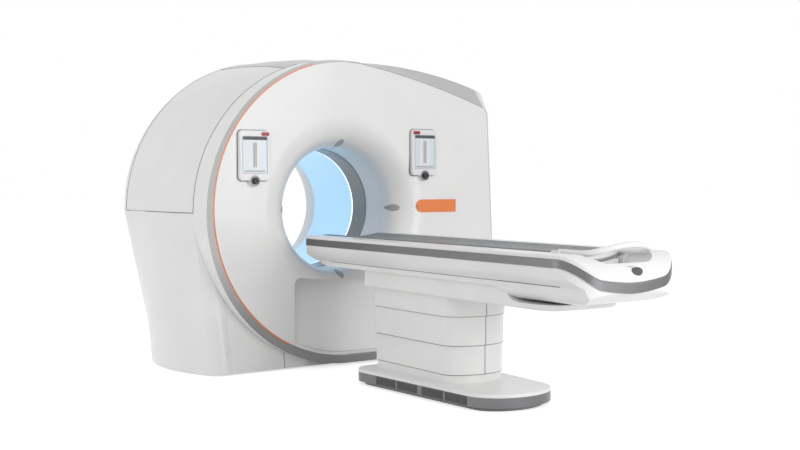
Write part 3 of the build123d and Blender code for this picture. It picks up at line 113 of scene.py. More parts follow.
class Graph:
    """A material's node tree, with short calls for the nodes that the finishes share."""

    noise_middle: Flat = (0.3, 0.7)
    foot_noise_scale: float = 6.0
    foot_unevenness: float = 0.04

    def __init__(self, name: str) -> None:
        """Start a material with a principled shader.

        Args:
            name: Name of the new material.
        """
        self.material = bpy.data.materials.new(name)
        self.material.use_nodes = True
        self.tree = self.material.node_tree
        self.tree.nodes.clear()
        self.shader = self.tree.nodes.new("ShaderNodeBsdfPrincipled")
        output = self.tree.nodes.new("ShaderNodeOutputMaterial")
        self.link(self.shader.outputs["BSDF"], output.inputs["Surface"])
        self.coordinates = self.tree.nodes.new("ShaderNodeTexCoord").outputs["Object"]

    def link(self, source: bpy.types.NodeSocket, target: bpy.types.NodeSocket) -> None:
        """Join two sockets."""
        self.tree.links.new(source, target)

    def scaled(self, stretch: Point) -> bpy.types.NodeSocket:
        """Object coordinates stretched along each axis.

        Args:
            stretch: Factor along X, Y and Z.

        Returns:
            The stretched coordinates.
        """
        node = self.tree.nodes.new("ShaderNodeMapping")
        node.inputs["Scale"].default_value = stretch
        self.link(self.coordinates, node.inputs["Vector"])
        return node.outputs["Vector"]

    def noise(
        self, scale: float, detail: float = 3.0, stretch: Point = (1.0, 1.0, 1.0)
    ) -> bpy.types.NodeSocket:
        """Noise on the object's own coordinates.

        Args:
            scale: Waves per metre.
            detail: Octaves.
            stretch: Factor along each axis, for streaks.

        Returns:
            The noise value.
        """
        node = self.tree.nodes.new("ShaderNodeTexNoise")
        node.inputs["Scale"].default_value = scale
        node.inputs["Detail"].default_value = detail
        self.link(self.scaled(stretch), node.inputs["Vector"])
        return node.outputs["Fac"]

    def height(self, top: float) -> bpy.types.NodeSocket:
        """Share of a height above the floor, made slightly uneven; it drives the painted shade near the
        floor.

        Args:
            top: Height where the share is one.

        Returns:
            The share.
        """
        parts = self.tree.nodes.new("ShaderNodeSeparateXYZ")
        self.link(self.scaled((1.0, 1.0, 1.0 / top)), parts.inputs["Vector"])
        uneven = self.tree.nodes.new("ShaderNodeMath")
        uneven.operation = "MULTIPLY_ADD"
        uneven.inputs[1].default_value = self.foot_unevenness
        self.link(self.noise(self.foot_noise_scale), uneven.inputs[0])
        self.link(parts.outputs["Z"], uneven.inputs[2])
        return uneven.outputs["Value"]

    def cells(self, scale: float) -> bpy.types.NodeSocket:
        """Distance to the nearest of scattered points, for grain.

        Args:
            scale: Points per metre.

        Returns:
            The distance.
        """
        node = self.tree.nodes.new("ShaderNodeTexVoronoi")
        node.inputs["Scale"].default_value = scale
        self.link(self.coordinates, node.inputs["Vector"])
        return node.outputs["Distance"]

    def spread(
        self, value: bpy.types.NodeSocket, low: float, high: float
    ) -> bpy.types.NodeSocket:
        """Map the middle of a noise to a range.

        Args:
            value: Noise between 0 and 1.
            low: Result where the noise is low.
            high: Result where the noise is high.

        Returns:
            The mapped value.
        """
        node = self.tree.nodes.new("ShaderNodeMapRange")
        limits = zip(("From Min", "From Max", "To Min", "To Max"), (*self.noise_middle, low, high))
        for name, limit in limits:
            node.inputs[name].default_value = limit
        self.link(value, node.inputs["Value"])
        return node.outputs["Result"]

    def tint(
        self, value: bpy.types.NodeSocket, first: Colour, second: Colour
    ) -> bpy.types.NodeSocket:
        """Colour that runs between two tints as a noise rises.

        Args:
            value: Noise between 0 and 1.
            first: Colour where the noise is low.
            second: Colour where the noise is high.

        Returns:
            The colour.
        """
        node = self.tree.nodes.new("ShaderNodeValToRGB")
        for number, colour in enumerate((first, second)):
            element = node.color_ramp.elements[number]
            element.position = self.noise_middle[number]
            element.color = (*colour, 1.0)
        self.link(value, node.inputs["Fac"])
        return node.outputs["Color"]

    def bump(self, height: bpy.types.NodeSocket, strength: float, depth: float) -> None:
        """Raise the surface by a height.

        Args:
            height: Height between 0 and 1.
            strength: Strength of the bump.
            depth: Height in metres.
        """
        node = self.tree.nodes.new("ShaderNodeBump")
        node.inputs["Strength"].default_value = strength
        node.inputs["Distance"].default_value = depth
        self.link(height, node.inputs["Height"])
        self.link(node.outputs["Normal"], self.shader.inputs["Normal"])

    def put(self, **values: float | Colour) -> None:
        """Set constants on the shader's own sockets.

        Args:
            values: Constant for each socket, whose name has underscores for its spaces.
        """
        for name, value in values.items():
            socket = self.shader.inputs[name.replace("_", " ")]
            socket.default_value = (*value, 1.0) if isinstance(value, tuple) else value

    def feed(self, name: str, source: bpy.types.NodeSocket) -> None:
        """Drive one of the shader's sockets by a pattern."""
        self.link(source, self.shader.inputs[name])

    def colour_by(self, value: bpy.types.NodeSocket, colour: Colour, shades: Flat) -> None:
        """Run the base colour between two shades as a noise rises.

        Args:
            value: Noise between 0 and 1.
            colour: Colour of the finish.
            shades: Factor on it where the noise is low and where it is high.
        """
        darker, lighter = (shade(colour, factor) for factor in shades)
        self.feed("Base Color", self.tint(value, darker, lighter))

    def gloss_by(self, value: bpy.types.NodeSocket, roughness: float, spread: Flat) -> None:
        """Run the roughness through a range as a noise rises.

        Args:
            value: Noise between 0 and 1.
            roughness: Roughness of the finish.
            spread: Change to it where the noise is low and where it is high.
        """
        smoother, rougher = (roughness + change for change in spread)
        self.feed("Roughness", self.spread(value, smoother, rougher))


# In every finish, a noise is given by its waves per metre and its octaves
@dataclass(frozen=True)
class PaintFinish:
    """Sprayed satin paint: faint clouding, uneven gloss and orange peel; where asked, painted shade
    darkens it towards the floor.
    """

    name: str
    colour: Colour
    roughness: float = 0.32
    clouding: float = 0.02
    painted_foot_shade: float = 1.0
    painted_shade_height: float = 1.1
    cloud: Flat = (3.5, 4.0)
    smear: Flat = (11.0, 5.0)
    gloss_spread: Flat = (-0.04, 0.05)
    peel: Flat = (260.0, 2.0)
    peel_strength: float = 0.25
    peel_depth: float = 0.00012
    coat: float = 0.25
    coat_roughness: float = 0.12
    refraction: float = 1.48

    def make(self) -> bpy.types.Material:
        """Build the material.

        Returns:
            The material.
        """
        graph = Graph(self.name)
        pattern, darkest = graph.noise(*self.cloud), 1.0 - self.clouding
        # Painted shade: the colour darkens towards the floor in place of the noise's clouding
        if self.painted_foot_shade < 1.0:
            pattern, darkest = graph.height(self.painted_shade_height), self.painted_foot_shade
        graph.colour_by(pattern, self.colour, (darkest, 1.0 + self.clouding))
        graph.gloss_by(graph.noise(*self.smear), self.roughness, self.gloss_spread)
        graph.bump(graph.noise(*self.peel), self.peel_strength, self.peel_depth)
        graph.put(Coat_Weight=self.coat, Coat_Roughness=self.coat_roughness, IOR=self.refraction)
        return graph.material


@dataclass(frozen=True)
class BrushedFinish:
    """Brushed metal with fine streaks along one axis."""

    name: str
    colour: Colour
    stretch: Point
    roughness: float = 0.3
    streak: Flat = (420.0, 4.0)
    shades: Flat = (0.9, 1.06)
    gloss_spread: Flat = (-0.06, 0.1)
    streak_strength: float = 0.12
    streak_depth: float = 0.0001

    def make(self) -> bpy.types.Material:
        """Build the material.

        Returns:
            The material.
        """
        graph = Graph(self.name)
        streak = graph.noise(*self.streak, self.stretch)
        graph.colour_by(streak, self.colour, self.shades)
        graph.gloss_by(streak, self.roughness, self.gloss_spread)
        graph.bump(streak, self.streak_strength, self.streak_depth)
        graph.put(Metallic=1.0)
        return graph.material


@dataclass(frozen=True)
class MouldedFinish:
    """Moulded plastic or rubber with a fine grain."""

    name: str
    colour: Colour
    roughness: float = 0.5
    wear: Flat = (18.0, 5.0)
    shades: Flat = (0.92, 1.1)
    gloss_spread: Flat = (-0.05, 0.08)
    grain: float = 900.0
    grain_strength: float = 0.3
    grain_depth: float = 0.0002

    def make(self) -> bpy.types.Material:
        """Build the material.

        Returns:
            The material.
        """
        graph = Graph(self.name)
        wear = graph.noise(*self.wear)
        graph.colour_by(wear, self.colour, self.shades)
        graph.gloss_by(wear, self.roughness, self.gloss_spread)
        graph.bump(graph.cells(self.grain), self.grain_strength, self.grain_depth)
        return graph.material


@dataclass(frozen=True)
class LitFinish:
    """Skin that is lit from behind or glows."""

    name: str
    colour: Colour
    glow: Colour
    strength: float
    roughness: float = 0.35
    cloud: Flat = (2.5, 3.0)
    shades: Flat = (0.97, 1.03)
    gloss_spread: Flat = (-0.04, 0.04)
    dimmest: float = 0.94

    def make(self) -> bpy.types.Material:
        """Build the material.

        Returns:
            The material.
        """
        graph = Graph(self.name)
        cloud = graph.noise(*self.cloud)
        graph.colour_by(cloud, self.colour, self.shades)
        graph.gloss_by(cloud, self.roughness, self.gloss_spread)
        graph.feed("Emission Color", graph.tint(cloud, shade(self.glow, self.dimmest), self.glow))
        graph.put(Emission_Strength=self.strength)
        return graph.material


@dataclass(frozen=True)
class SkinFinish:
    """Wipe-clean pad skin with a fine leather-like grain."""

    name: str
    colour: Colour
    roughness: float = 0.42
    cloud: Flat = (6.0, 5.0)
    shades: Flat = (0.93, 1.06)
    smear: Flat = (30.0, 4.0)
    gloss_spread: Flat = (-0.06, 0.1)
    grain: float = 520.0
    grain_strength: float = 0.35
    grain_depth: float = 0.0004
    sheen: float = 0.15
    sheen_roughness: float = 0.5

    def make(self) -> bpy.types.Material:
        """Build the material.

        Returns:
            The material.
        """
        graph = Graph(self.name)
        graph.colour_by(graph.noise(*self.cloud), self.colour, self.shades)
        graph.gloss_by(graph.noise(*self.smear), self.roughness, self.gloss_spread)
        graph.bump(graph.cells(self.grain), self.grain_strength, self.grain_depth)
        graph.put(Sheen_Weight=self.sheen, Sheen_Roughness=self.sheen_roughness)
        return graph.material


FINISHES = {
    "cover_white": PaintFinish("cover_paint", (0.82, 0.815, 0.81)),
    # The trim grey has painted shade, darker towards the floor
    "trim_grey": PaintFinish("trim_paint", (0.5, 0.495, 0.495), roughness=0.34, painted_foot_shade=0.5),
    "silver": BrushedFinish("rail_silver", (0.17, 0.17, 0.175), (1.0, 0.02, 1.0)),
    "accent_orange": PaintFinish("accent_paint", (0.82, 0.22, 0.05), roughness=0.28),
    "tunnel_blue": LitFinish("tunnel_skin", (0.6, 0.78, 0.92), (0.45, 0.75, 1.0), strength=0.35),
    "light_blue": LitFinish("ring_light", (0.8, 0.92, 1.0), (0.7, 0.9, 1.0), strength=1.6),
    "bore_silver": BrushedFinish("bore_silver", (0.16, 0.185, 0.2), (1.0, 0.05, 1.0), roughness=0.24),
    "window_grey": MouldedFinish("window_smoke", (0.4, 0.4, 0.41), roughness=0.2),
    "panel_white": PaintFinish("panel_paint", (0.78, 0.78, 0.79), roughness=0.3),
    "screen": LitFinish(
        "screen_glass", (0.6, 0.67, 0.72), (0.75, 0.86, 0.9), strength=0.1, roughness=0.12
    ),
    "dial_black": MouldedFinish("dial_plastic", (0.02, 0.02, 0.023), roughness=0.35),
    "stop_red": MouldedFinish("stop_plastic", (0.32, 0.012, 0.012), roughness=0.3),
    "frame_steel": PaintFinish("frame_paint", (0.27, 0.29, 0.31), roughness=0.45),
    "machined_steel": BrushedFinish("machined_steel", (0.52, 0.52, 0.53), (1.0, 0.1, 1.0)),
    "rotor_aluminium": BrushedFinish(
        "rotor_aluminium", (0.55, 0.56, 0.58), (1.0, 0.4, 1.0), roughness=0.4
    ),
    "unit_grey": PaintFinish("unit_paint", (0.42, 0.44, 0.47), roughness=0.42),
    "pad_grey": SkinFinish("pad_skin", (0.115, 0.13, 0.14)),
    "cradle_grey": MouldedFinish("cradle_laminate", (0.34, 0.37, 0.4), roughness=0.4),
    "inset_dark": MouldedFinish("inset_plastic", (0.06, 0.065, 0.07), roughness=0.4),
    "pedal_grey": MouldedFinish("pedal_rubber", (0.075, 0.075, 0.08), roughness=0.6),
    "foot_rubber": MouldedFinish("foot_rubber", (0.03, 0.03, 0.03), roughness=0.7),
}


class Workshop:
    """Makes each finish once, dresses the CAD nodes and takes in the scene's own pieces."""

    def __init__(self) -> None:
        """Start with no material made."""
        self.made: dict[str, bpy.types.Material] = {}

    def finish(self, slot: str) -> bpy.types.Material:
        """Material of a slot.

        Args:
            slot: The record's name of the slot.

        Returns:
            The material, made on first use.
        """
        if slot not in self.made:
            self.made[slot] = FINISHES[slot].make()
        return self.made[slot]

    def dress_nodes(self) -> None:
        """Give every CAD node the finish of its slot."""
        for part in frame["record"]["subparts"]:
            mesh = frame["nodes"][part["node"]].data
            mesh.materials.clear()
            mesh.materials.append(self.finish(part["material_slot"]))
            LOG.info("dressed %s in %s", part["node"], part["material_slot"])

    def keep(self, name: str, mesh: bpy.types.Mesh, body: str, slot: Slot) -> bpy.types.Object:
        """Take in a finished mesh as a piece of the object.

        Args:
            name: Name of the piece.
            mesh: Its mesh, in place.
            body: CAD body that it moves with.
            slot: Slot of its finish.

        Returns:
            The new piece.
        """
        mesh.name = name
        mesh.materials.clear()
        mesh.materials.append(self.finish(slot.value))
        piece = placed(name, mesh)
        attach(piece, body)
        LOG.info("%s: %d faces on %s", name, len(mesh.polygons), body)
        return piece

    def joint(
        self, name: str, path: list[Point], outward: list[Point], size: Flat, body: str
    ) -> None:
        """Lay a dark joint along a path on a surface.

        Args:
            name: Name of the joint.
            path: Points on the surface.
            outward: Direction away from the surface at each point.
            size: Width of the strip and its height above the surface.
            body: CAD body that it moves with.
        """
        shape = Shape()
        shape.ribbon(path, outward, *size)
        self.keep(name, shape.done(name), body, Slot.SEAM)


class Shape:
    """Closed mesh under construction, made of loops of points that are skinned together."""

    def __init__(self) -> None:
        """Start with an empty mesh."""
        self.mesh = bmesh.new()

    def loop(self, points: list[Point]) -> list[bmesh.types.BMVert]:
        """Add the points of one loop."""
        return [self.mesh.verts.new(point) for point in points]

    def skin(self, loops: list[list[bmesh.types.BMVert]], round_trip: bool) -> None:
        """Join each loop to the next one by a ring of faces.

        Args:
            loops: Loops of equally many points.
            round_trip: Whether the last loop joins the first.
        """
        follow = loops[1:] + loops[:1] if round_trip else loops[1:]
        for first, second in zip(loops, follow):
            for place, vertex in enumerate(first):
                after = (place + 1) % len(first)
                self.mesh.faces.new((vertex, first[after], second[after], second[place]))

    def tube(self, loops: list[list[bmesh.types.BMVert]]) -> None:
        """Skin loops one after the other and close both ends.

        Args:
            loops: Loops of equally many points.
        """
        self.skin(loops, False)
        self.mesh.faces.new(loops[0])
        self.mesh.faces.new(loops[-1])

    def done(self, name: str) -> bpy.types.Mesh:
        """Finish the mesh, with its faces outward and flat.

        Args:
            name: Name of the mesh.

        Returns:
            The mesh.
        """
        bmesh.ops.recalc_face_normals(self.mesh, faces=self.mesh.faces)
        mesh = bpy.data.meshes.new(name)
        self.mesh.to_mesh(mesh)
        self.mesh.free()
        return mesh

    def ribbon(self, path: list[Point], outward: list[Point], width: float, rise: float) -> None:
        """Thin closed strip that follows a path on a surface.

        Args:
            path: Points on the surface.
            outward: Direction away from the surface at each point.
            width: Width of the strip.
            rise: Height above and depth below the surface.
        """
        points = [Vector(point) for point in path]
        loops = []
        for place, point in enumerate(points):
            before = points[max(place - 1, 0)]
            after = points[min(place + 1, len(points) - 1)]
            up = Vector(outward[place]).normalized()
            side = (after - before).cross(up).normalized() * width / 2
            lift = up * rise
            loops.append(self.loop([point + side + lift, point - side + lift,
                                    point - side - lift, point + side - lift]))
        self.tube(loops)

    def plate(self, edge: list[Flat], front: float, back: float) -> None:
        """Flat plate that faces the foot end, from its outline in X and Z.

        Args:
            edge: Outline.
            front: Y of its face.
            back: Y of its back.
        """
        self.tube([self.loop([(x, y, z) for x, z in edge]) for y in (front, back)])

    def border(self, outer: list[Flat], inner: list[Flat], front: float, back: float) -> None:
        """Flat frame between two outlines of equally many points.

        Args:
            outer: Outer outline in X and Z.
            inner: Inner outline in X and Z.
            front: Y of its face.
            back: Y of its back.
        """
        loops = [self.loop([(x, y, z) for x, z in edge])
                 for edge, y in ((outer, front), (inner, front), (inner, back), (outer, back))]
        self.skin(loops, True)

    def turned(self, profile: list[Flat], centre: Flat, steps: int) -> None:
        """Ring turned about an axis along Y.

        Args:
            profile: Closed section as radius and Y.
            centre: X and Z of the axis.
            steps: Facets round the ring.
        """
        loops = []
        for step in range(steps):
            angle = math.tau * step / steps
            across, up = math.cos(angle), math.sin(angle)
            loops.append(self.loop([(centre[0] + across * r, y, centre[1] + up * r)
                                    for r, y in profile]))
        self.skin(loops, True)


def rounded(low: Flat, high: Flat, corner: float, steps: int = 6) -> list[Flat]:
    """Outline of a rectangle with round corners.

    Args:
        low: Lower left corner.
        high: Upper right corner.
        corner: Radius of the corners.
        steps: Points on each corner less one.

    Returns:
        The points, anticlockwise.
    """
    centres = [(high[0] - corner, high[1] - corner), (low[0] + corner, high[1] - corner),
               (low[0] + corner, low[1] + corner), (high[0] - corner, low[1] + corner)]
    points = []
    for quarter, (x, z) in enumerate(centres):
        for step in range(steps + 1):
            angle = math.pi / 2 * (quarter + step / steps)
            points.append((x + corner * math.cos(angle), z + corner * math.sin(angle)))
    return points


class RunShape(Enum):
    """Shape of the small pieces in a run."""

    BAR = "GeometryNodeMeshCube"
    ROLLER = "GeometryNodeMeshCylinder"


@dataclass
class PieceRun:
    """Small pieces of one kind, set along a line by Geometry Nodes."""

    name: str
    shape: RunShape
    count: int
    size: Point
    turn: Point = (0.0, 0.0, 0.0)
    seed: int = 7
    unevenness: float = 0.04
    roller_sides: int = 8

    def tree(self) -> bpy.types.NodeTree:
        """Node tree that resamples a line and sets one piece on each point.

        Returns:
            The tree, with named inputs.
        """
        tree = bpy.data.node_groups.new(self.name, "GeometryNodeTree")
        kinds = {"Line": "Geometry", "Count": "Int", "Size": "Vector", "Turn": "Vector",
                 "Seed": "Int", "Finish": "Material"}
        for label, kind in kinds.items():
            tree.interface.new_socket(label, in_out="INPUT", socket_type=f"NodeSocket{kind}")
        tree.interface.new_socket("Pieces", in_out="OUTPUT", socket_type="NodeSocketGeometry")
        add, join = tree.nodes.new, tree.links.new
        given, result = add("NodeGroupInput").outputs, add("NodeGroupOutput")
        curve, spaced = add("GeometryNodeMeshToCurve"), add("GeometryNodeResampleCurve")
        spaced.mode = "COUNT"
        join(given["Line"], curve.inputs["Mesh"])
        join(curve.outputs["Curve"], spaced.inputs["Curve"])
        join(given["Count"], spaced.inputs["Count"])
        unit = add(self.shape.value)
        if self.shape is RunShape.BAR:
            join(given["Size"], unit.inputs["Size"])
        else:
            unit.inputs["Vertices"].default_value = self.roller_sides
            parts = add("ShaderNodeSeparateXYZ")
            join(given["Size"], parts.inputs[0])
            join(parts.outputs["X"], unit.inputs["Radius"])
            join(parts.outputs["Z"], unit.inputs["Depth"])
        uneven = add("FunctionNodeRandomValue")
        uneven.data_type = "FLOAT"
        uneven.inputs["Min"].default_value = 1.0 - self.unevenness
        uneven.inputs["Max"].default_value = 1.0
        join(given["Seed"], uneven.inputs["Seed"])
        placed = add("GeometryNodeInstanceOnPoints")
        join(spaced.outputs["Curve"], placed.inputs["Points"])
        join(unit.outputs["Mesh"], placed.inputs["Instance"])
        join(given["Turn"], placed.inputs["Rotation"])
        join(next(out for out in uneven.outputs if out.enabled), placed.inputs["Scale"])
        real, painted = add("GeometryNodeRealizeInstances"), add("GeometryNodeSetMaterial")
        join(placed.outputs["Instances"], real.inputs["Geometry"])
        join(real.outputs["Geometry"], painted.inputs["Geometry"])
        join(given["Finish"], painted.inputs["Material"])
        join(painted.outputs["Geometry"], result.inputs["Pieces"])
        return tree

    def lay(self, points: list[Point], ring: bool, finish: bpy.types.Material) -> bpy.types.Mesh:
        """Set the pieces along a line.

        Args:
            points: Points of the line, in place.
            ring: Whether the line closes.
            finish: Material of the pieces.

        Returns:
            One mesh with all the pieces.
        """
        line = bpy.data.meshes.new(f"{self.name}_line")
        last = len(points) if ring else len(points) - 1
        line.from_pydata(points, [(i, (i + 1) % len(points)) for i in range(last)], [])
        carrier = placed(f"{self.name}_line", line)
        modifier = carrier.modifiers.new(self.name, "NODES")
        modifier.node_group = self.tree()
        values = {"Count": self.count, "Size": self.size, "Turn": self.turn,
                  "Seed": self.seed, "Finish": finish}
        for socket in modifier.node_group.interface.items_tree:
            if socket.in_out == "INPUT" and socket.name in values:
                modifier[socket.identifier] = values[socket.name]
        carrier.update_tag()
        return baked(carrier)


@dataclass
class GantrySeams:
    """Dark joints between the covers of the gantry."""

    centre_z: float = 0.998
    radius: float = 0.985
    rim_y: float = -0.640
    rear_y: float = 0.300
    rear_start_degrees: float = 83.0
    growth: float = 0.060
    growth_place_shares: tuple[float, ...] = (0.0, 0.25, 0.6, 1.0)
    growth_shares: tuple[float, ...] = (0.0, 0.5, 0.83, 1.0)
    rim_top_x: float = -0.25
    roof_x: float = -0.345
    side_z: float = 0.9996
    right_x: float = 1.225
    bevel_y: float = -0.857
    bevel_depth: float = 0.097
    bevel_low_z: float = 1.963
    bevel_high_z: float = 1.979
    bevel_x: float = 0.087
    foot_x: float = -0.43
    foot_y: float = -0.785
    foot_lean: float = 0.117
    foot_low_z: float = 0.012
    foot_high_z: float = 0.110
    # Width of a joint and its height above the covers
    size: Flat = (0.0045, 0.0012)
    body: str = "stand"
    steps: int = 60

    def swell(self, y: float) -> float:
        """Growth of the body at a depth.

        Args:
            y: Depth.

        Returns:
            How far the covers stand out beyond the rim.
        """
        share = (y - self.rim_y) / (self.rear_y - self.rim_y)
        places, sizes = self.growth_place_shares, self.growth_shares
        for near, far, low, high in zip(places, places[1:], sizes, sizes[1:]):
            if share <= far:
                return self.growth * (low + (high - low) * (share - near) / (far - near))
        return self.growth

    def along(self) -> list[float]:
        """Depths from the rim to the rear seam."""
        run = self.rear_y - self.rim_y
        return [self.rim_y + run * i / self.steps for i in range(self.steps + 1)]

    def hoop(self, y: float, start: float, end: float) -> tuple[list[Point], list[Point]]:
        """Arc round the body at a depth, with the outward direction at each point.

        Args:
            y: Depth.
            start: First angle from the right, in radians.
            end: Last angle.

        Returns:
            The points and the outward directions.
        """
        reach = self.radius + self.swell(y)
        turns = [start + (end - start) * i / self.steps for i in range(self.steps + 1)]
        outward = [(math.cos(turn), 0.0, math.sin(turn)) for turn in turns]
        return [(x * reach, y, self.centre_z + z * reach) for x, _, z in outward], outward

    def build(self, workshop: Workshop) -> None:
        """Lay every joint of the gantry.

        Args:
            workshop: Takes in the pieces.
        """
        rim_start = math.pi / 2 + math.asin(-self.rim_top_x / self.radius)
        workshop.joint("rim_joint", *self.hoop(self.rim_y, rim_start, math.pi), self.size, self.body)
        rear_start = math.radians(self.rear_start_degrees)
        workshop.joint("rear_joint", *self.hoop(self.rear_y, rear_start, math.pi), self.size, self.body)
        reaches = [(y, self.radius + self.swell(y)) for y in self.along()]
        left = [(-reach, y, self.side_z) for y, reach in reaches]
        outward = [(-1.0, 0.0, 0.0)] * len(left)
        workshop.joint("left_side_joint", left, outward, self.size, self.body)
        right = [(self.right_x + self.swell(y), y, self.side_z) for y in self.along()]
        outward = [(1.0, 0.0, 0.0)] * len(right)
        workshop.joint("right_side_joint", right, outward, self.size, self.body)
        heights = [(y, math.sqrt(reach ** 2 - self.roof_x ** 2)) for y, reach in reaches]
        roof = [(self.roof_x, y, self.centre_z + height) for y, height in heights]
        upward = [(self.roof_x, 0.0, height) for _, height in heights]
        workshop.joint("roof_joint", roof, upward, self.size, self.body)
        rise = self.bevel_high_z - self.bevel_low_z
        bevel = [(self.bevel_x, self.bevel_y, self.bevel_low_z),
                 (self.bevel_x, self.bevel_y + self.bevel_depth, self.bevel_high_z)]
        outward = [(0.0, -rise, self.bevel_depth)] * len(bevel)
        workshop.joint("bevel_joint", bevel, outward, self.size, self.body)
        ends = (self.foot_low_z, self.foot_high_z)
        foot = [(self.foot_x, self.foot_y + self.foot_lean * z, z) for z in ends]
        outward = [(0.0, -1.0, 0.0)] * len(foot)
        workshop.joint("foot_joint", foot, outward, self.size, self.body)


@dataclass
class ControlPanel:
    """Trim of one control panel: painted shade outline round the housing, screen border, picture
    blocks, dial ring and knurl.
    """

    side: str
    face_y: float = -0.857
    shade_outline: float = 0.004
    shade_outline_rise: float = 0.0015
    corner: float = 0.024
    border: float = 0.0035
    border_corner: float = 0.006
    lift: float = 0.0006
    sink: float = 0.0004
    header_share: float = 0.09
    ring_inner: float = 0.0222
    ring_outer: float = 0.0335
    ring_rise: float = 0.003
    ring_edge: float = 0.001
    ring_steps: int = 48
    knurls: int = 30
    knurl: Point = (0.0012, 0.0012, 0.009)
    # Shares of the screen's width and height, from its lower left corner
    couch_shares: tuple[Flat, Flat] = ((0.42, 0.16), (0.58, 0.84))
    field_shares: tuple[Flat, Flat] = ((0.24, 0.1), (0.76, 0.88))
    key_shares: tuple[Flat, Flat] = ((0.06, 0.03), (0.94, 0.075))

    def build(self, workshop: Workshop) -> None:
        """Make the trim from the boxes of the panel's CAD nodes.

        Args:
            workshop: Takes in the pieces.
        """
        low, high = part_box(f"{self.side}_panel_housing")
        dial_low, dial_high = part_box(f"{self.side}_jog_dial")
        centre = ((dial_low[0] + dial_high[0]) / 2, (dial_low[2] + dial_high[2]) / 2)
        self.make_shade_outline(workshop, (low[0], centre[1]), (high[0], high[2]))
        self.make_screen(workshop, low[1])
        self.make_dial_ring(workshop, centre, low[1])
        self.make_knurl(workshop, centre, (dial_high[0] - dial_low[0]) / 2, dial_low[1])

    def make_shade_outline(self, workshop: Workshop, low: Flat, high: Flat) -> None:
        """Dark outline between the housing and the face: painted shade of the shadowed gap where they
        meet.

        Args:
            workshop: Takes in the piece.
            low: Lower left corner of the housing, in X and Z.
            high: Its upper right corner.
        """
        # Painted shade: dark outline round the housing's foot, where the shadowed gap meets the face
        grown = self.shade_outline
        outer = rounded((low[0] - grown, low[1] - grown), (high[0] + grown, high[1] + grown),
                        self.corner + grown)
        shape = Shape()
        shape.border(outer, rounded(low, high, self.corner), self.face_y - self.shade_outline_rise,
                     self.face_y + self.sink)
        name = f"{self.side}_panel_shade_outline"
        workshop.keep(name, shape.done(name), "stand", Slot.SEAM)

    def make_screen(self, workshop: Workshop, front: float) -> None:
        """Border of the screen and the plain blocks that it shows.

        Args:
            workshop: Takes in the pieces.
            front: Y of the housing's face.
        """
        low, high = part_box(f"{self.side}_panel_screen")
        grown = self.border
        outer = rounded((low[0] - grown, low[2] - grown), (high[0] + grown, high[2] + grown),
                        self.border_corner)
        inner = rounded((low[0], low[2]), (high[0], high[2]), self.border_corner - grown / 2)
        shape = Shape()
        shape.border(outer, inner, front - self.lift, front + self.sink)
        name = f"{self.side}_screen_border"
        workshop.keep(name, shape.done(name), "stand", Slot.UNIT)
        blocks = {
            "header": (((0.0, 1.0 - self.header_share), (1.0, 1.0)), Slot.SEAM, 1),
            "field": (self.field_shares, Slot.PANEL, 1),
            "couch": (self.couch_shares, Slot.UNIT, 2),
            "keys": (self.key_shares, Slot.UNIT, 1),
        }
        width, height = high[0] - low[0], high[2] - low[2]
        for label, ((start, end), slot, layer) in blocks.items():
            edge = rounded((low[0] + width * start[0], low[2] + height * start[1]),
                           (low[0] + width * end[0], low[2] + height * end[1]), self.border)
            shape = Shape()
            shape.plate(edge, low[1] - self.lift * layer, low[1] + self.sink)
            name = f"{self.side}_screen_{label}"
            workshop.keep(name, shape.done(name), "stand", slot)

    def make_dial_ring(self, workshop: Workshop, centre: Flat, front: float) -> None:
        """Metal ring round the dial.

        Args:
            workshop: Takes in the piece.
            centre: X and Z of the dial.
            front: Y of the housing's face.
        """
        inner, outer, edge = self.ring_inner, self.ring_outer, self.ring_edge
        top, foot = front - self.ring_rise, front + self.sink
        profile = [(inner, foot), (inner, top + edge), (inner + edge, top),
                   (outer - edge, top), (outer, top + edge), (outer, foot)]
        shape = Shape()
        shape.turned(profile, centre, self.ring_steps)
        name = f"{self.side}_dial_ring"
        workshop.keep(name, shape.done(name), "stand", Slot.SILVER)

    def make_knurl(self, workshop: Workshop, centre: Flat, radius: float, front: float) -> None:
        """Grip of the dial: small rollers round its rim.

        Args:
            workshop: Takes in the piece.
            centre: X and Z of the dial.
            radius: Radius of the dial.
            front: Y of the dial's face.
        """
        depth = front + self.knurl[2]
        turns = [math.tau * i / self.knurls for i in range(self.knurls)]
        rim = [(centre[0] + radius * math.cos(turn), depth, centre[1] + radius * math.sin(turn))
               for turn in turns]
        run = PieceRun(f"{self.side}_knurl", RunShape.ROLLER, self.knurls, self.knurl,
                       (math.pi / 2, 0.0, 0.0))
        mesh = run.lay(rim, True, workshop.finish(Slot.DIAL.value))
        workshop.keep(f"{self.side}_dial_knurl", mesh, f"{self.side}_dial", Slot.DIAL)


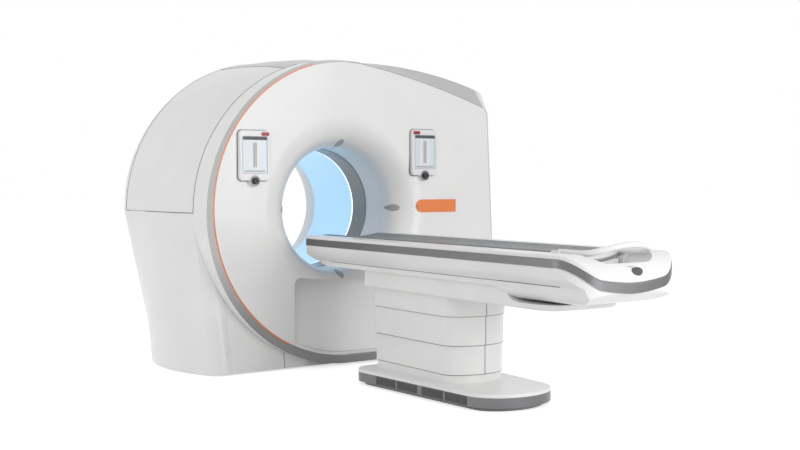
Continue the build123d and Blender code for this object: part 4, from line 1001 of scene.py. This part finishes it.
@dataclass
class TableTrim:
    """Joints of the table and column, painted shadow under the column lips, the tail's dark oval and
    the pedal treads.
    """

    seam_z: float = 0.7005
    seam_x: float = 0.2772
    seam_start_y: float = -1.10
    keel_start_y: float = -2.705
    keel_end_y: float = -3.165
    keel_lines: tuple[Flat, ...] = ((0.2842, 0.7015), (0.2736, 0.6806))
    keel_outward: Point = (0.9, 0.0, -0.44)
    width: float = 0.004
    rise: float = 0.0012
    slide_rise: float = 0.0004
    nose_start_y: float = -2.14
    nose_steps: int = 40
    column_corner: float = 0.032
    deck_z: float = 0.856
    fall_y: float = -3.215
    fall_radius: float = 0.16
    pocket_middle: Flat = (0.03, -3.354)
    pocket_half: Flat = (0.036, 0.010)
    pocket_rise: float = 0.003
    pocket_steps: int = 40
    pocket_ring_shares: tuple[float, ...] = (1.0, 0.7, 0.4, 0.1)
    pedals: int = 4
    tread: Point = (0.004, 0.005, 0.032)
    tread_sink_share: float = 0.25
    treads: int = 15
    taper: float = 0.0615
    tread_margin: float = 0.014

    def build(self, workshop: Workshop) -> None:
        """Make the joints, the painted lip shadows, the tail's dark oval and the treads.

        Args:
            workshop: Takes in the pieces.
        """
        for sign, side in ((-1.0, "left"), (1.0, "right")):
            ends = (self.seam_start_y, self.keel_start_y)
            belly = [(sign * self.seam_x, y, self.seam_z) for y in ends]
            outward = [(sign, 0.0, 0.0)] * len(belly)
            workshop.joint(f"{side}_belly_joint", belly, outward, (self.width, self.rise), "table")
            for number, (x, z) in enumerate(self.keel_lines, 1):
                keel = [(sign * x, y, z) for y in (self.keel_start_y, self.keel_end_y)]
                outward = [(sign * self.keel_outward[0], 0.0, self.keel_outward[2])] * len(keel)
                name = f"{side}_keel_joint_{number}"
                workshop.joint(name, keel, outward, (self.width, self.rise), "table")
        tiers = {"column_cover_top": "table", "column_cover_middle": "column_middle",
                 "column_cover_low": "column_low"}
        for node, body in tiers.items():
            low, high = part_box(node)
            upright = [(0.0, low[1], z) for z in (low[2] + self.rise, high[2] - self.rise)]
            outward = [(0.0, -1.0, 0.0)] * len(upright)
            workshop.joint(f"{node}_joint", upright, outward, (self.width, self.slide_rise), body)
            self.make_lip_shadow(workshop, node, body)
        self.make_pocket(workshop)
        for number in range(1, self.pedals + 1):
            self.make_treads(workshop, number)

    def make_pocket(self, workshop: Workshop) -> None:
        """Dark oval in the falling deck of the tail: the inset's own dark colour with painted shade of
        the hole that the deck hides.

        Args:
            workshop: Takes in the piece.
        """
        # Partly painted shade: a dark oval on the deck standing for the shaded hole of the inset
        shape = Shape()
        rings = [(share, -self.pocket_rise) for share in reversed(self.pocket_ring_shares)]
        rings += [(share, self.pocket_rise) for share in self.pocket_ring_shares]
        loops = []
        for share, lift in rings:
            points = []
            for step in range(self.pocket_steps):
                turn = math.tau * step / self.pocket_steps
                x = self.pocket_middle[0] + share * self.pocket_half[0] * math.cos(turn)
                y = self.pocket_middle[1] + share * self.pocket_half[1] * math.sin(turn)
                points.append((x, y, self.deck_height(y) + lift))
            loops.append(shape.loop(points))
        shape.tube(loops)
        workshop.keep("tail_pocket", shape.done("tail_pocket"), "table", Slot.SEAM)

    def deck_height(self, y: float) -> float:
        """Height of the deck, which falls away in an arc towards the tail."""
        fall = max(0.0, self.fall_y - y)
        return self.deck_z - self.fall_radius + math.sqrt(self.fall_radius ** 2 - fall ** 2)

    def make_lip_shadow(self, workshop: Workshop, node: str, body: str) -> None:
        """Grey strip round the lower edge of a column cover: a painted shadow line under the cover's
        lip.

        Args:
            workshop: Takes in the piece.
            node: CAD node of the cover.
            body: CAD body that it moves with.
        """
        low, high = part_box(node)
        half, nose = high[0], self.nose_start_y - low[1]
        turns = [math.pi * (1.0 + i / self.nose_steps) for i in range(self.nose_steps + 1)]
        around = [(half * math.cos(turn), nose * math.sin(turn)) for turn in turns]
        path = [(x, self.nose_start_y + y, low[2] + self.width / 2) for x, y in around]
        outward = [(x / half ** 2, y / nose ** 2, 0.0) for x, y in around]
        front = high[1] - self.column_corner
        path = [(-half, front, path[0][2]), *path, (half, front, path[0][2])]
        outward = [(-1.0, 0.0, 0.0), *outward, (1.0, 0.0, 0.0)]
        # Painted shadow: a darker strip under the lip of the cover above
        shape = Shape()
        shape.ribbon(path, outward, self.width, self.slide_rise)
        name = f"{node}_lip_shadow"
        workshop.keep(name, shape.done(name), body, Slot.TRIM)

    def make_treads(self, workshop: Workshop, number: int) -> None:
        """Ribs on the face of a pedal, which follows the taper of the base.

        Args:
            workshop: Takes in the piece.
            number: Number of the pedal.
        """
        low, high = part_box(f"foot_pedal_{number}")
        left = low[0] < 0
        outer = low[0] if left else high[0]
        inward = 1.0 if left else -1.0
        middle_z = (low[2] + high[2]) / 2
        ends = (high[1] - self.tread_margin, low[1] + self.tread_margin)
        sink = self.tread[0] * self.tread_sink_share
        line = [(outer + inward * ((high[1] - y) * self.taper + sink), y, middle_z) for y in ends]
        run = PieceRun(f"tread_{number}", RunShape.BAR, self.treads, self.tread)
        mesh = run.lay(line, False, workshop.finish(Slot.PEDAL.value))
        workshop.keep(f"pedal_tread_{number}", mesh, f"pedal_{number}", Slot.PEDAL)


@dataclass
class PatientPad:
    """Foam mat on the cradle: swollen by a short cloth simulation, with a sewn edge."""

    shrink: float = 0.002
    seat_share: float = 0.25
    voxel: float = 0.005
    pressure: float = 4.0
    frames: int = 20
    cloth_quality: int = 3
    top_limit: float = 0.0035
    bottom_limit: float = 0.0004
    side_share: float = 0.3
    section_steps: int = 40
    edge_rise: float = 0.0375
    edge_height: float = 0.0085
    middle_height: float = 0.0165
    end_round: float = 0.03
    end_width_share: float = 0.9
    station_shares: tuple[float, ...] = (0.0, 0.1, 0.3, 0.6, 1.0)
    seam_inset: float = 0.013
    seam_width: float = 0.006
    seam_depth: float = 0.0016
    stitches: int = 190
    stitch: Point = (0.0012, 0.0055, 0.0009)

    def build(self, workshop: Workshop) -> None:
        """Make the mat and its stitches.

        Args:
            workshop: Takes in the pieces.
        """
        low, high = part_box("cradle_pad")
        mesh = self.remeshed(self.block(low, high))
        self.swell(mesh)
        self.sew(mesh, high[0] - self.seam_inset)
        for polygon in mesh.polygons:
            polygon.use_smooth = True
        mat = workshop.keep("patient_mat", mesh, "cradle", Slot.PAD)
        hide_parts("cradle_pad")
        self.stitch_edges(workshop, mesh, low, high)

    def block(self, low: Point, high: Point) -> bpy.types.Mesh:
        """Start shape: the sagging section of the mat run along the cradle, rounded at its ends.

        Args:
            low: Lowest corner of the CAD pad.
            high: Highest corner of the CAD pad.

        Returns:
            A closed mesh, slightly smaller than the CAD pad.
        """
        half = high[0] - self.shrink
        front, rear = high[1] - self.shrink, low[1] + self.shrink
        seat = low[2] + self.shrink * self.seat_share
        shape = Shape()
        loops = []
        for y in self.stations(front, rear):
            narrow = self.narrowing(min(front - y, y - rear))
            steps = range(self.section_steps + 1)
            xs = [half * (2 * i / self.section_steps - 1) * narrow for i in steps]
            under = [(x, y, seat + self.edge_rise * (x / half) ** 2) for x in xs]
            over = [(x, y, z + self.height(x / half)) for x, y, z in under]
            loops.append(shape.loop(under + over[::-1]))
        shape.tube(loops)
        return shape.done("patient_mat")

    def stations(self, front: float, rear: float) -> list[float]:
        """Places along the mat, close together at its rounded ends.

        Args:
            front: Y of the end in the bore.
            rear: Y of the foot end.

        Returns:
            The places, from the front to the rear.
        """
        near = [front - self.end_round * share for share in self.station_shares]
        far = [rear + self.end_round * share for share in reversed(self.station_shares)]
        return near + far

    def narrowing(self, distance: float) -> float:
        """Share of the full width at a distance from the mat's end.

        Args:
            distance: Distance from the nearer end.

        Returns:
            The share.
        """
        share = min(1.0, distance / self.end_round)
        bulge = math.sqrt(max(0.0, 1.0 - (1.0 - share) ** 2))
        return self.end_width_share + (1.0 - self.end_width_share) * bulge

    def height(self, share: float) -> float:
        """Thickness of the mat at a share of its half width."""
        return self.middle_height + (self.edge_height - self.middle_height) * share ** 2

    def remeshed(self, mesh: bpy.types.Mesh) -> bpy.types.Mesh:
        """Even mesh of the start shape.

        Args:
            mesh: Start shape.

        Returns:
            The voxel remesh.
        """
        carrier = placed("mat_block", mesh)
        modifier = carrier.modifiers.new("voxels", "REMESH")
        modifier.mode = "VOXEL"
        modifier.voxel_size = self.voxel
        return baked(carrier)

    def swell(self, mesh: bpy.types.Mesh) -> None:
        """Blow the mat up by a cloth simulation and keep each point's move within its limit.

        Args:
            mesh: The mat, which is changed.
        """
        carrier = placed("mat_cloth", mesh.copy())
        scene = bpy.context.scene
        cloth = carrier.modifiers.new("cloth", "CLOTH")
        cloth.settings.quality = self.cloth_quality
        cloth.settings.use_pressure = True
        cloth.settings.uniform_pressure_force = self.pressure
        cloth.settings.effector_weights.gravity = 0.0
        cloth.point_cache.frame_end = self.frames
        for number in range(1, self.frames + 1):
            scene.frame_set(number)
        blown = carrier.evaluated_get(bpy.context.evaluated_depsgraph_get()).data
        facing = [vertex.normal.z for vertex in mesh.vertices]
        for vertex, moved, up in zip(mesh.vertices, blown.vertices, facing):
            move = moved.co - vertex.co
            limit = self.bottom_limit if up < -self.side_share else self.top_limit
            if move.length > limit:
                move *= limit / move.length
            vertex.co += move
        bpy.data.objects.remove(carrier)
        scene.frame_set(1)

    def sew(self, mesh: bpy.types.Mesh, line: float) -> None:
        """Press the sewn groove into the top along both edges.

        Args:
            mesh: The mat.
            line: Distance of the groove from the middle.
        """
        facing = [vertex.normal.z for vertex in mesh.vertices]
        for vertex, up in zip(mesh.vertices, facing):
            if up > self.side_share:
                off = (abs(vertex.co.x) - line) / self.seam_width
                vertex.co.z -= self.seam_depth * math.exp(-off * off)

    def stitch_edges(
        self, workshop: Workshop, mesh: bpy.types.Mesh, low: Point, high: Point
    ) -> None:
        """Rows of stitches that lie in the sewn grooves.

        Args:
            workshop: Takes in the pieces.
            mesh: The finished mat.
            low: Lowest corner of the CAD pad.
            high: Highest corner of the CAD pad.
        """
        reach = high[0] - self.seam_inset
        for sign, side in ((-1.0, "left"), (1.0, "right")):
            near = [v.co.z for v in mesh.vertices
                    if abs(v.co.x - sign * reach) < self.voxel and v.normal.z > self.side_share]
            top = sum(near) / len(near)
            ends = (high[1] - self.end_round, low[1] + self.end_round)
            line = [(sign * reach, y, top) for y in ends]
            run = PieceRun(f"{side}_stitch", RunShape.BAR, self.stitches, self.stitch)
            rows = run.lay(line, False, workshop.finish(Slot.TRIM.value))
            workshop.keep(f"{side}_stitches", rows, "cradle", Slot.TRIM)


@dataclass(frozen=True)
class Lamp:
    """Soft square lamp."""

    name: str
    place: Point
    target: Point
    size: float
    watts: float

    def hang(self) -> None:
        """Put the lamp into the scene."""
        data = bpy.data.lights.new(self.name, "AREA")
        data.size = self.size
        data.energy = self.watts
        lamp = placed(self.name, data)
        lamp.location = self.place
        aim(lamp, Vector(self.target) - Vector(self.place))


@dataclass
class Studio:
    """Pale floor, soft light and the camera at the photograph's angle."""

    eye: Point = (-3.917, -7.092, 1.198)
    towards: Point = (0.5696, 0.8210, -0.0388)
    lens: float = 51.19
    sensor: float = 36.0
    floor_half: float = 60.0
    sky: float = 0.46
    backdrop: float = 1.0
    floor_glow: float = 0.62
    floor_colour: Colour = (0.8, 0.8, 0.8)
    floor_shades: Flat = (1.0, 1.0375)
    floor_speckle: Flat = (40.0, 4.0)
    floor_roughness: float = 0.9
    lamps: tuple[Lamp, ...] = (
        Lamp("key", place=(-3.4, -5.2, 3.6), target=(0.0, -1.0, 0.8), size=4.0, watts=44.0),
        Lamp("front", place=(1.6, -7.6, 2.4), target=(0.0, -0.85, 1.1), size=4.0, watts=172.0),
        Lamp("side", place=(-5.5, 0.2, 2.0), target=(-1.0, -0.2, 0.9), size=3.0, watts=62.0),
        Lamp("top", place=(0.2, 0.4, 5.5), target=(0.0, 0.2, 0.0), size=4.0, watts=20.0),
    )

    def build(self) -> None:
        """Make the camera, the floor, the sky and the lamps."""
        self.make_camera()
        self.make_floor()
        self.make_sky()
        for lamp in self.lamps:
            lamp.hang()

    def make_camera(self) -> None:
        """Camera at the place that was fitted to the photograph."""
        data = bpy.data.cameras.new("camera")
        data.lens = self.lens
        data.sensor_width = self.sensor
        camera = placed("camera", data)
        camera.location = self.eye
        aim(camera, Vector(self.towards))
        bpy.context.scene.camera = camera

    def make_floor(self) -> None:
        """Pale floor that keeps the shadow and fades into the white backdrop."""
        mesh = bpy.data.meshes.new("floor")
        half = self.floor_half
        corners = [(-half, -half, 0.0), (half, -half, 0.0), (half, half, 0.0), (-half, half, 0.0)]
        mesh.from_pydata(corners, [], [(0, 1, 2, 3)])
        floor = placed("floor", mesh)
        graph = Graph("floor_paint")
        graph.colour_by(graph.noise(*self.floor_speckle), self.floor_colour, self.floor_shades)
        graph.put(Roughness=self.floor_roughness, Emission_Color=WHITE)
        graph.feed("Emission Strength", self.seen(graph.tree, 0.0, self.floor_glow))
        mesh.materials.append(graph.material)

    def seen(self, tree: bpy.types.NodeTree, plain: float, shown: float) -> bpy.types.NodeSocket:
        """Strength that changes where the camera, a reflection or glass looks at it.

        Args:
            tree: Node tree to build in.
            plain: Strength for the light that falls on the object.
            shown: Strength for what is seen.

        Returns:
            The strength.
        """
        path = tree.nodes.new("ShaderNodeLightPath")
        largest = path.outputs["Is Camera Ray"]
        for name in ("Is Glossy Ray", "Is Transmission Ray"):
            node = tree.nodes.new("ShaderNodeMath")
            node.operation = "MAXIMUM"
            tree.links.new(largest, node.inputs[0])
            tree.links.new(path.outputs[name], node.inputs[1])
            largest = node.outputs[0]
        node = tree.nodes.new("ShaderNodeMapRange")
        node.inputs["To Min"].default_value = plain
        node.inputs["To Max"].default_value = shown
        tree.links.new(largest, node.inputs["Value"])
        return node.outputs["Result"]

    def make_sky(self) -> None:
        """White backdrop that lights the object softly."""
        world = bpy.data.worlds.new("studio")
        world.use_nodes = True
        tree = world.node_tree
        background = tree.nodes["Background"]
        background.inputs["Color"].default_value = (*WHITE, 1.0)
        tree.links.new(self.seen(tree, self.sky, self.backdrop), background.inputs["Strength"])
        bpy.context.scene.world = world
        bpy.context.scene.view_settings.view_transform = "Standard"


def main() -> None:
    """Build the studio, dress the CAD nodes and add the detailed pieces."""
    logging.basicConfig(level=logging.INFO, format="%(name)s: %(message)s")
    workshop = Workshop()
    Studio().build()
    workshop.dress_nodes()
    GantrySeams().build(workshop)
    for side in ("left", "right"):
        ControlPanel(side).build(workshop)
    TableTrim().build(workshop)
    PatientPad().build(workshop)


if __name__ == "__main__":
    main()
